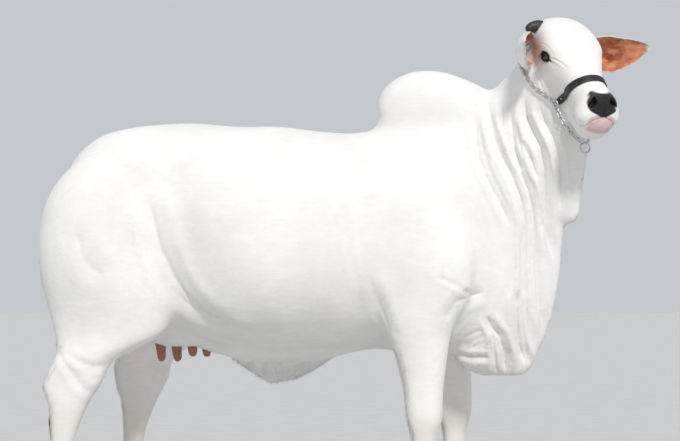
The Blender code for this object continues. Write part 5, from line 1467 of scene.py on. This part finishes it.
def grown(name, ground, draw, count, weight, length, width, lift, drop, rows, low=1.0):
    """Tufts sown over the skin as one finished piece; low is their share of the size near the floor."""
    places, normal = ground.sown(count, weight, draw)
    small = low + (1 - low) * ramp(places[:, 2], 0.15, 0.75)
    lie = lie_of_coat(places, normal)
    sizes = (length * small, width * small, lift, drop)
    tufts = tuft_mesh(name, ground, places, normal, lie, *sizes, draw, rows, name == "fringe_ears")
    shown(tufts, "hide", smooth=False)


def coats(ground):
    """The short coat over the body and the face, then the longer fringes."""
    draw = np.random.default_rng(11)
    middles = ground.middles
    bare = bare_share(middles, ground.normals)
    face = ramp(head_share(middles), 0.4, 0.8)
    for side, _ in SIDES:
        bare[np.linalg.norm(middles - np.array(eye_centre(side)), axis=1) < EYE_RADIUS + 0.002] = 1
    body = (1 - face) * (1 - bare) * (middles[:, 2] >= 0.085)
    for part, low, high in (("rear", -9.0, -0.35), ("middle", -0.35, 0.35), ("front", 0.35, 9.0)):
        here = body * (middles[:, 0] >= low) * (middles[:, 0] < high)
        grown(f"coat_{part}", ground, draw, 42000, here, 0.014, 0.0028, 0.0008, (0, 0, -0.03), 3, 0.55)
    grown("coat_face", ground, draw, 26000, face * (1 - bare), 0.0085, 0.0020, 0.0006, (0, 0, -0.02), 3)
    fringes(ground, draw, bare)


def fringes(ground, draw, bare):
    """Longer hair where it breaks the outline: ear rims, hocks, flap, dewlap, coronets and tail."""
    x, y, z = ground.middles.T
    rim = np.zeros(len(x))
    for side, _ in SIDES:
        along, across, out, _ = in_ear(ground.middles, side)
        share = along / EAR_LENGTH
        edge = (share > 0.10) * (share < 1.05) * (out > -0.006) * (out < 0.010) * (np.abs(across) < 0.09)
        rim = np.maximum(rim, edge)
    haired_share = 1 - bare
    flap = (x > -0.35) * (x < 0.30) * (np.abs(y) < 0.05) * (z < 0.66)
    throat = (x > 0.93) * (z > 0.70) * (z < 1.36) * (np.abs(ground.normals[:, 1]) < 0.6)
    dewlap = (x > 0.66) * (z < 0.74) + throat
    legs = (z < 0.72) * (z > 0.10) * (ground.normals[:, 0] < -0.5) * (x > -1.2)
    feet = (z < 0.125) * (z > 0.085)
    tail_hair = (x < -0.93) * (z < 1.10) * (np.abs(y) < 0.04)
    for name, count, weight, length, width, lift, drop in (
        ("fringe_ears", 2600, rim, 0.0085, 0.0011, 0.0016, (0, 0, -0.10)),
        ("fringe_flap", 2600, flap * haired_share, 0.020, 0.0020, 0.0018, (-0.2, 0, -0.30)),
        ("fringe_dewlap", 4200, dewlap * haired_share, 0.013, 0.0018, 0.0012, (-0.1, 0, -0.30)),
        ("fringe_legs", 5200, legs * haired_share, 0.020, 0.0024, 0.0030, (-0.1, 0, -0.25)),
        ("fringe_feet", 3000, feet * haired_share, 0.026, 0.0024, 0.0025, (0.0, 0, -0.20)),
        ("fringe_tail", 2600, tail_hair * haired_share, 0.030, 0.0026, 0.0035, (0.0, 0, -0.10)),
    ):
        grown(name, ground, draw, count, weight, length, width, lift, drop, 4)


# Eyes, horn, hooves, teats


def eyeballs():
    for side, word in SIDES:
        out, forward, up = eye_axes(side)
        centre = eye_centre(side)
        place = Matrix((forward, up, out)).transposed()
        made = ball(f"eyeball_{word}", centre, [EYE_RADIUS] * 3, place)
        for v in made.data.vertices:
            local = (v.co - centre).normalized()
            bulge = max((local.dot(out) - 0.80) / 0.20, 0)
            v.co += local * 0.0008 * bulge * bulge * (3 - 2 * bulge)
        shown(made, "eye", [f"eye_{word}"])


LASHES = 150  # for each eye, of which LASHES_ABOVE are on the upper lid
LASHES_ABOVE = 105


def lashes():
    """Short dark lashes, mostly on the upper lid."""
    draw = np.random.default_rng(3)
    points, faces = [], []
    for side, _ in SIDES:
        out, forward, up = eye_axes(side)
        wide = forward * 0.00032
        for k in range(LASHES):
            upper = k < LASHES_ABOVE
            turned = 1 if upper else -1
            along, across = lid_edge(math.pi * draw.uniform(0.06, 0.94) * turned)
            across *= 1.10
            reach = math.sqrt(max((EYE_RADIUS + 0.003) ** 2 - along**2 - across**2, 0)) + 0.001
            root = eye_centre(side) + out * reach + forward * along + up * (across - LID_SLANT * along)
            away = (up * turned * 0.75 + out * 0.9 + forward * (along / LID_REACH) * 0.5).normalized()
            length = draw.uniform(0.007, 0.011) if upper else draw.uniform(0.003, 0.006)
            tip = root + away * length + up * (0.30 * length if upper else -0.1 * length)
            mid = root.lerp(tip, 0.5) - up * 0.0012 * turned
            a = len(points)
            points += [root - wide, root + wide, mid - wide * 0.7, mid + wide * 0.7, tip]
            faces += [(a, a + 1, a + 3), (a, a + 3, a + 2), (a + 2, a + 3, a + 4)]
    made = triangle_mesh("lashes", np.array([tuple(p) for p in points]), np.array(faces))
    shown(made, "lash")


HORN = (
    # distance from the root, radius
    (-0.030, 0.0260),
    (0.000, 0.0250),
    (0.020, 0.0235),
    (0.038, 0.0205),
    (0.052, 0.0160),
    (0.060, 0.0100),
    (0.0635, 0.0030),
)
HORN_DROOP = 6.0  # metres down for each square metre of reach


def horns():
    for side, word in SIDES:
        root = head_point(0.018, 0.082 * side, -0.020)
        along = (HEAD @ Vector((-0.10, side, 0.10 if side < 0 else -0.30))).normalized()
        short = 1.0 if side < 0 else 0.75
        rows = eased(HORN, 40)
        points, radii = [], []
        for i, (reach, r) in enumerate(rows):
            points.append(root + along * (reach * short) - UP * (HORN_DROOP * max(reach, 0) ** 2))
            radii.append(r * (1 + 0.018 * math.sin(i * 1.9) + 0.010 * math.sin(i * 0.7)))
        made = tube(f"horn_stub_{word}", points, radii, 36)
        for v in made.data.vertices:
            v.co += noise.noise_vector(v.co * 90) * 0.0006
        shown(made, "horn", [f"horn_{word}"])


CORONET = ((-0.062, 0.047), (0.058, 0.086))  # (ahead, up) of the heel and toe ends of the hoof's top edge
FOOT_SPOTS = {
    "hind_right": (-0.843, -HIND_TRACK),
    "hind_left": (-0.843 + LEFT_HIND_STEP, HIND_TRACK),
    "fore_right": (0.543, -FORE_TRACK),
    "fore_left": (0.543 + LEFT_FORE_STEP, FORE_TRACK),
}
CLAW_SPREAD = 0.005  # between the two claws of a foot


def coronet_height(ahead):
    (heel, low), (toe, high) = CORONET
    return low + (high - low) * (ahead - heel) / (toe - heel)


def claw(name, spot, side, leg_width):
    """One claw of a cloven hoof, with growth rings that follow the coronet."""
    x, y = spot
    rings = []
    for share in (0.0, 0.03, *np.linspace(0.08, 1.0, 26)):
        heel, toe = -0.062 - 0.004 * (1 - share), 0.092 - 0.036 * share
        wide = leg_width - 0.002 + 0.005 * (1 - share)
        swell = -0.003 if share == 0.0 else 0.0
        if share > 0.05:
            swell += 0.0007 * math.sin(share * 38) + 0.0004 * math.sin(share * 90 + 1)
        swell += 0.0015 * bell(share, 0.97, 0.03)
        ring = []
        for a in even_turns(44):
            c, s = math.cos(a), math.sin(a)
            ahead = (heel + toe) / 2 + ((toe - heel) / 2 + swell) * math.copysign(abs(c) ** 0.85, c)
            across = (wide + swell) * s**0.75 if s > 0 else 0.010 * max((ahead - 0.02) / 0.07, 0)
            off = side * (CLAW_SPREAD / 2 + across)
            ring.append(Vector((x + ahead, y + off, share * coronet_height(ahead))))
        rings.append(ring)
    made = lofted(name, rings)
    for v in made.data.vertices:
        if v.co.z > 0.004:
            v.co += noise.noise_vector(v.co * 60) * 0.0005
    return made


TEATS = {
    # x, y, tip height
    "teat_rear_right": (-0.543, -0.027, 0.645),
    "teat_rear_left": (-0.490, 0.030, 0.643),
    "teat_front_right": (-0.420, -0.023, 0.664),
    "teat_front_left": (-0.372, 0.028, 0.662),
}
TEAT_ROWS = (
    # above the tip, radius
    (0.085, 0.0215),
    (0.060, 0.0205),
    (0.040, 0.0190),
    (0.018, 0.0165),
    (0.005, 0.0120),
    (0.000, 0.0050),
)


DEWCLAW = (
    # ahead, up and radius, from the root to the tip
    (0.022, 0.010, 0.015),
    (0.000, 0.000, 0.015),
    (-0.010, -0.018, 0.012),
    (-0.012, -0.030, 0.006),
)
DEWCLAW_HEIGHT = 0.142
DEWCLAW_SPREAD = 0.024


def feet():
    """Two claws and two dewclaws on every foot."""
    for name, (x, y) in FOOT_SPOTS.items():
        outward = -1 if name.endswith("right") else 1
        leg_width, fetlock_back = (0.056, -0.100) if name.startswith("fore") else (0.053, -0.098)
        for place, side in (("outer", outward), ("inner", -outward)):
            foot = f"{name}_{place}"
            shown(claw(f"claw_{foot}", (x, y), side, leg_width), "hoof", [f"hoof_{foot}"])
            root = Vector((x + fetlock_back, y + side * DEWCLAW_SPREAD, DEWCLAW_HEIGHT))
            rows = eased(DEWCLAW, 16)
            points = [root + Vector((ahead, 0, up)) for ahead, up, _ in rows]
            radii = [r * (1 + 0.04 * math.sin(i * 2.1)) for i, (_, _, r) in enumerate(rows)]
            shown(tube(f"dewclaw_horn_{foot}", points, radii, 20), "hoof", [f"dewclaw_{foot}"])


def teats():
    for name, (x, y, tip) in TEATS.items():
        lean = Vector((0.10, 0.10 * (1 if y > 0 else -1), 0))
        fine = eased(TEAT_ROWS, 44)
        points = [Vector((x, y, tip + up)) - lean * up for up, _ in fine]
        radii = [r * (1 + 0.035 * math.sin(up * 700 + x * 40) + 0.02 * math.sin(up * 2100)) for up, r in fine]
        made = tube(f"{name}_skin", points, radii, 32)
        for v in made.data.vertices:
            v.co += noise.noise_vector(v.co * 40) * 0.0022 + noise.noise_vector(v.co * 130) * 0.0004
        shown(made, "teat", [name])


# The tail's switch

SWITCH_BOTTOM = 0.235
SWITCH_STRANDS = 620
SWITCH_CORE = (
    # down, radius
    (-0.010, 0.013),
    (0.050, 0.020),
    (0.120, 0.026),
    (0.200, 0.024),
    (0.290, 0.014),
    (0.350, 0.004),
)


def strand(start, end, bulge, width, turn, rows=7):
    """Points of one flat tapered lock of hair, as pairs and a tip."""
    side = Vector((math.cos(turn), math.sin(turn), 0.0))
    points = []
    for i in range(rows - 1):
        t = i / (rows - 1)
        centre = start.lerp(end, t) + bulge * math.sin(math.pi * t) * 0.5
        half = width * (0.45 + 0.55 * math.sin(math.pi * min(t + 0.2, 1)))
        points += [centre - side * half, centre + side * half]
    return points + [end]


def switch():
    draw = np.random.default_rng(5)
    start = Vector((TAIL[-1][0], 0, TAIL_END))
    points, faces = [], []
    for k in range(SWITCH_STRANDS):
        around = draw.uniform(0, 2 * math.pi)
        out = Vector((math.cos(around), math.sin(around), 0))
        down = draw.uniform(-0.06, 0.20) if k % 3 else draw.uniform(-0.09, 0.03)
        slim = 0.010 if down < 0 else 0.010 + 0.10 * min(down, 0.12)
        root = start - Vector((0, 0, down)) + out * slim
        spread = draw.uniform(0.002, 0.036)
        low = SWITCH_BOTTOM + draw.uniform(0.0, 0.16) + 0.5 * max(spread - 0.02, 0)
        tip = Vector((start.x, 0, low)) + out * spread
        bulge = out * draw.uniform(0.012, 0.050) + Vector((draw.normal(0, 0.006), draw.normal(0, 0.006), 0))
        width = draw.uniform(0.0014, 0.0034)
        made = strand(root, tip, bulge, width, around + math.pi / 2 + draw.normal(0, 0.5))
        first = len(points)
        points += made
        for i in range(0, len(made) - 3, 2):
            a = first + i
            faces += [(a, a + 1, a + 3), (a, a + 3, a + 2)]
        a = first + len(made) - 3
        faces.append((a, a + 1, a + 2))
    made = triangle_mesh("switch_hair", np.array([tuple(p) for p in points]), np.array(faces))
    core_rows = eased(SWITCH_CORE, 30)
    core = tube("switch_core", [start - UP * down for down, _ in core_rows], [r for _, r in core_rows], 24)
    for v in core.data.vertices:
        v.co += noise.noise_vector(Vector((v.co.x * 60, v.co.y * 60, v.co.z * 12))) * 0.003
    shown(core, "switch", ["tail_switch"])
    shown(made, "switch", ["tail_switch"])


# The halter

STRAP_WIDTH = 0.030
STRAP_THICK = 0.0036
STRAP_CORE = Vector((0.330, 0, -0.062))
STRAP_LEAN = 0.17  # how far the strap leans forward over the nose
STRAP_SWEEP = 0.25  # how far its ends sweep back
STRAP_TURN = 139  # degrees from the top of the nose to each end
STRAP_SHARP = 50  # degrees from which its edges stay sharp
FITTINGS = {
    # side: middle of the cheek ring and the way it faces, both in the head's frame
    -1: (Vector((0.293, -0.069, -0.167)), Vector((0.20, -0.93, -0.30))),
    1: (Vector((0.296, 0.090, -0.150)), Vector((0.30, 0.75, 0.60))),
}
FITTING_RADIUS = 0.0185
FITTING_WIRE = 0.0030
LEAD_RING = Vector((1.108, -0.292, 1.452))
LEAD_RING_RADIUS = 0.0190
LEAD_RING_AXIS = Vector((0.42, -0.90, 0.10))
LEAD_RING_WIRE = 0.0032
CHIN_SAG = 0.020
FINE_LINK = 0.0165  # from one link to the next
FINE_WIDTH = 0.0135
FINE_WIRE = 0.0021


def strap_aim(turn):
    """The way out from the strap's core at a turn from the top of the nose, and the way across it."""
    back = STRAP_SWEEP * (1 - math.cos(turn)) ** 2 / 4
    aim = Vector((STRAP_LEAN * math.cos(turn) - back, math.sin(turn), math.cos(turn))).normalized()
    return aim, (AHEAD - aim * AHEAD.dot(aim)).normalized()


def strap_section(tree, degrees, half_width, low, high):
    """A cross-section of the noseband at one turn round the nose."""
    aim, along = strap_aim(math.radians(degrees))
    hits = []
    for edge in (-1, 0, 1):
        start = STRAP_CORE + along * (edge * half_width)
        hits.append(tree.ray_cast(head_point(*start), HEAD @ aim)[3])
    low_edge, high_edge = max(hits[0], hits[1] - 0.001), max(hits[2], hits[1] - 0.001)
    ring = []
    for share, level in ((-1, 0.25), (-0.94, 0), (-0.5, 0), (0, 0), (0.5, 0), (0.94, 0), (1, 0.25),
                         (1, 0.75), (0.94, 1), (0.5, 1.04), (0, 1.06), (-0.5, 1.04), (-0.94, 1), (-1, 0.75)):
        base = low_edge + (high_edge - low_edge) * (share + 1) / 2
        start = STRAP_CORE + along * (share * half_width)
        ring.append(head_point(*(start + aim * (base + low + (high - low) * level))))
    return ring


def noseband(tree):
    """The strap over the nose, with a row of stitches along each edge."""
    turns = np.linspace(-STRAP_TURN, STRAP_TURN, 121)
    rings = [strap_section(tree, t, STRAP_WIDTH / 2, 0.0012, 0.0012 + STRAP_THICK) for t in turns]
    shown(lofted("nose_strap", rings), "strap", ["noseband"], sharp=STRAP_SHARP)
    stitches = []
    for edge in (12, 8):
        for i in range(0, len(turns) - 1, 2):
            a, b = (ring[10].lerp(ring[edge], 0.80) for ring in rings[i : i + 2])
            lift = (a - head_point(*STRAP_CORE)).normalized() * 0.0004
            points = [a - lift, a.lerp(b, 0.2) + lift, a.lerp(b, 0.8) + lift, b - lift]
            stitches.append(tube("stitch", points, [0.0004, 0.0006, 0.0006, 0.0004], 6))
    shown(joined("strap_stitching", stitches), "thread")
    return rings


def wire_loop(name, loop, axis, wire, sides):
    """A closed loop of round wire in the plane across axis."""
    bm = bmesh.new()
    middle = sum(loop, Vector()) / len(loop)
    rings = []
    for i, p in enumerate(loop):
        ahead = (loop[(i + 1) % len(loop)] - loop[i - 1]).normalized()
        out = ahead.cross(axis).normalized()
        if out.dot(p - middle) < 0:
            out = -out
        turns = np.linspace(0, 2 * math.pi, sides, endpoint=False)
        rings.append([bm.verts.new(p + (out * math.cos(t) + axis * math.sin(t)) * wire) for t in turns])
    for i in range(len(rings)):
        a, b = rings[i], rings[(i + 1) % len(rings)]
        for k in range(sides):
            bm.faces.new((a[k], a[(k + 1) % sides], b[(k + 1) % sides], b[k]))
    return finished(name, bm)


def hoop(name, centre, axis, radius, wire):
    """A round ring of wire."""
    axis = axis.normalized()
    a = axis.cross(UP).normalized()
    b = axis.cross(a)
    turns = np.linspace(0, 2 * math.pi, 48, endpoint=False)
    loop = [centre + (a * math.cos(t) + b * math.sin(t)) * radius for t in turns]
    return wire_loop(name, loop, axis, wire, 14)


def chain(name, route, out_of, node_name):
    """Oval links along a route, each through the next and a quarter turn from it."""
    lengths = [(b - a).length for a, b in zip(route, route[1:])]
    total = sum(lengths)
    count = max(2, round(total / FINE_LINK))

    def at(distance):
        distance = min(max(distance, 0), total - 1e-6)
        for a, b, length in zip(route, route[1:], lengths):
            if distance <= length:
                return a.lerp(b, distance / length)
            distance -= length
        return route[-1]

    links = []
    for i in range(count):
        start, end = at(total * i / count), at(total * (i + 1) / count)
        middle, along = (start + end) / 2, (end - start).normalized()
        out = out_of(middle)
        out = (out - along * out.dot(along)).normalized()
        across = along.cross(out)
        flat = (across + out * 0.7).normalized() if i % 2 else (across * 0.7 - out).normalized()
        straight = (end - start).length / 2 + FINE_WIRE * 1.6 - FINE_WIDTH / 2 + FINE_WIRE
        loop = []
        for a in even_turns(18):
            reach = math.cos(a) * (FINE_WIDTH / 2) + math.copysign(max(straight, 0.001), math.cos(a))
            loop.append(middle + along * reach + flat * (math.sin(a) * FINE_WIDTH / 2))
        links.append(wire_loop("link", loop, along.cross(flat), FINE_WIRE, 7))
    return shown(joined(name, links), "steel", [node_name])


CHEEK_ROUTE = (
    # from the left cheek ring back under the jaw's angle, up behind the ear and on to the nape
    (0.255, 0.084, -0.174),
    (0.215, 0.098, -0.174),
    (0.170, 0.114, -0.170),
    (0.125, 0.126, -0.168),
    (0.080, 0.132, -0.172),
    (0.035, 0.134, -0.184),
    (-0.015, 0.128, -0.180),
    (-0.055, 0.110, -0.145),
    (-0.082, 0.082, -0.095),
    (-0.094, 0.044, -0.056),
    (-0.098, 0.000, -0.042),
)
FINE_CLEARANCE = 0.0075


def on_surface(tree, place):
    """The point over the surface where a line from the head's middle line passes through place."""
    core = head_point(max(place.x * 0.9, -0.02), 0, -0.10 + 0.1 * max(place.x, 0))
    target = head_point(*place)
    aim = (target - core).normalized()
    hit = tree.ray_cast(core + aim * 0.25, -aim)[0]
    return hit + aim * FINE_CLEARANCE if hit else target


def kept_off(tree, route):
    """A route evened out, with every point moved out until it clears the surface."""
    for _ in range(8):
        middle = [(a + 2 * b + c) / 4 for a, b, c in zip(route, route[1:], route[2:])]
        route = [route[0], *middle, route[-1]]
        for i, p in enumerate(route):
            near, facing, _, away = tree.find_nearest(p)
            if (p - near).dot(facing) < 0 or away < FINE_CLEARANCE:
                route[i] = near + facing * FINE_CLEARANCE
    return route


def halter(skin):
    """The strap, a ring at each of its ends, and the chains from the rings to the nape and the lead ring."""
    tree = surface_tree(skin)
    rings = noseband(tree)
    middle = head_point(0.15, 0, -0.10)

    def steel_ring(name, node_name, *sizes):
        shown(hoop(name, *sizes), "steel", [node_name])

    for side, word in SIDES:
        spot, facing = FITTINGS[side]
        centre = head_point(*spot)
        facing = (HEAD @ facing).normalized()
        steel_ring(f"strap_ring_{word}", f"cheek_ring_{word}", centre, facing, FITTING_RADIUS, FITTING_WIRE)
        fitting(f"strap_end_{word}", rings[0 if side < 0 else -1], centre)
        start = centre - HEAD.col[0] * (FITTING_RADIUS - 0.003) + facing * 0.003
        route = [start] + [on_surface(tree, mirrored(Vector(p), side)) for p in eased(CHEEK_ROUTE, 40)]
        route = kept_off(tree, route)
        chain(f"chain_cheek_{word}", route, lambda p: (p - middle).normalized(), f"cheek_chain_{word}")
        low = LEAD_RING + UP * LEAD_RING_RADIUS + HEAD.col[1] * (0.010 * side)
        top = centre + HEAD @ Vector((0.011, -0.002 * side, -0.011))
        sag = [top.lerp(low, t) - UP * (CHIN_SAG * math.sin(math.pi * t)) for t in np.linspace(0, 1, 15)]
        chain(f"chain_chin_{word}", sag, lambda p: -ACROSS, f"chin_chain_{word}")
    steel_ring("lead_hoop", "lead_ring", LEAD_RING, LEAD_RING_AXIS, LEAD_RING_RADIUS, LEAD_RING_WIRE)


def fitting(name, ring, centre):
    """The strap's end, as a thicker straight tab run towards the middle of its ring, and riveted."""
    inner, outer = [ring[i] for i in (1, 5)], [ring[i] for i in (12, 8)]
    middle = (inner[0] + inner[1] + outer[0] + outer[1]) / 4
    reach = (centre - middle).length
    away = (centre - middle).normalized()
    across = (outer[1] - outer[0]).normalized()
    out = away.cross(across).normalized()
    if out.dot(outer[0] - inner[0]) < 0:
        out = -out
    thick = STRAP_THICK * 0.95
    section = ((-1, -0.5), (-0.9, -0.9), (0.9, -0.9), (1, -0.5), (1, 0.6), (0.9, 1.0), (-0.9, 1.0), (-1, 0.6))
    rings = []
    for t in np.linspace(-0.6, 1.0, 12):
        width = STRAP_WIDTH / 2 * (1.06 - 0.30 * max(t, 0) ** 2)
        at = middle + away * (reach * t * 0.8)
        rings.append([at + across * (c * width) + out * (s * thick) for c, s in section])
    shown(lofted(name, rings), "strap", sharp=STRAP_SHARP)
    place = Matrix((away, across, out)).transposed()
    rivet = ball(f"{name}_rivet", middle + out * thick, (0.0036, 0.0036, 0.0018), place, 20, 12)
    shown(rivet, "steel")


# Stage, light and camera

CAMERA_DISTANCE = 8.0
CAMERA_TURN = math.radians(7.0)
CAMERA_HEIGHT = 0.95
AIM = Vector((0.157, 0.0, 1.195))
METRES_PER_PIXEL = 0.0039
FRAME_WIDTH = 680
SENSOR = 36.0  # millimetres
SUN_SIDE = Vector((0.35, -1.0, 0.92))  # the way from the cow to the sun
SUN_STRENGTH = 2.2
SUN_WIDTH = math.radians(9)
SKY_STRENGTH = 0.60
FLOOR_RADIUS = 60.0


def stage():
    """A pale floor out to the horizon, and an even pale sky."""
    bm = bmesh.new()
    bmesh.ops.create_circle(bm, cap_ends=True, segments=96, radius=FLOOR_RADIUS)
    floor = finished("floor", bm)
    speck = ("Noise", 6.0, EVEN, {"Detail": 5.0})
    look = surface("studio_floor", (speck,), (0, 0.3, 0.7, (0.56, 0.56, 0.56), (0.60, 0.60, 0.60)), 0.85, ())
    floor.data.materials.append(look)
    world = bpy.data.worlds.new("studio")
    bpy.context.scene.world = world
    world.use_nodes = True
    sky = world.node_tree.nodes["Background"]
    sky.inputs["Color"].default_value = (0.93, 0.96, 1.0, 1)
    sky.inputs["Strength"].default_value = SKY_STRENGTH


def aimed(obj, way, axis):
    """Turns an object so that its own axis points along way, with its Y up."""
    obj.rotation_mode = "QUATERNION"
    obj.rotation_quaternion = way.to_track_quat(axis, "Y")


def lights():
    """One soft sun from the camera's side, a little to the right, as in the photo."""
    key = bpy.data.lights.new("key", "SUN")
    key.energy = SUN_STRENGTH
    key.angle = SUN_WIDTH
    key.color = (1.0, 0.985, 0.96)
    aimed(placed("key", key), SUN_SIDE, "Z")


def camera():
    aim = AIM + SHIFT
    ahead, back = CAMERA_DISTANCE * math.sin(CAMERA_TURN), CAMERA_DISTANCE * math.cos(CAMERA_TURN)
    place = Vector((AIM.x + ahead, -back, CAMERA_HEIGHT)) + SHIFT
    data = bpy.data.cameras.new("camera")
    data.sensor_width = SENSOR
    data.lens = SENSOR * (aim - place).length / METRES_PER_PIXEL / FRAME_WIDTH
    data.clip_end = 200.0
    made = placed("camera", data)
    made.location = place
    aimed(made, aim - place, "-Z")
    bpy.context.scene.camera = made


def main():
    noise.seed_set(7)  # else the noise differs from run to run
    camera()
    stage()
    lights()
    bpy.context.scene.view_settings.view_transform = "Standard"
    skin = with_ears(with_mouth(with_nostrils(with_eyes(flesh()))))
    places, facing = rows_of(skin.data), rows_of(skin.data, "normal")
    marked(skin, marks_at(places, facing))
    ground = Ground(skin)
    coats(ground)
    halter(skin)
    eyeballs()
    lashes()
    horns()
    feet()
    teats()
    switch()
    flesh_nodes = ["torso", "hump", "neck", "dewlap", "head"]
    flesh_nodes += ["navel_flap", "udder", "tail_upper", "tail_lower"]
    flesh_nodes += [f"{part}_{word}" for part in ("leg_fore", "leg_hind", "ear") for _, word in SIDES]
    shown(skin, "hide", flesh_nodes)


main()
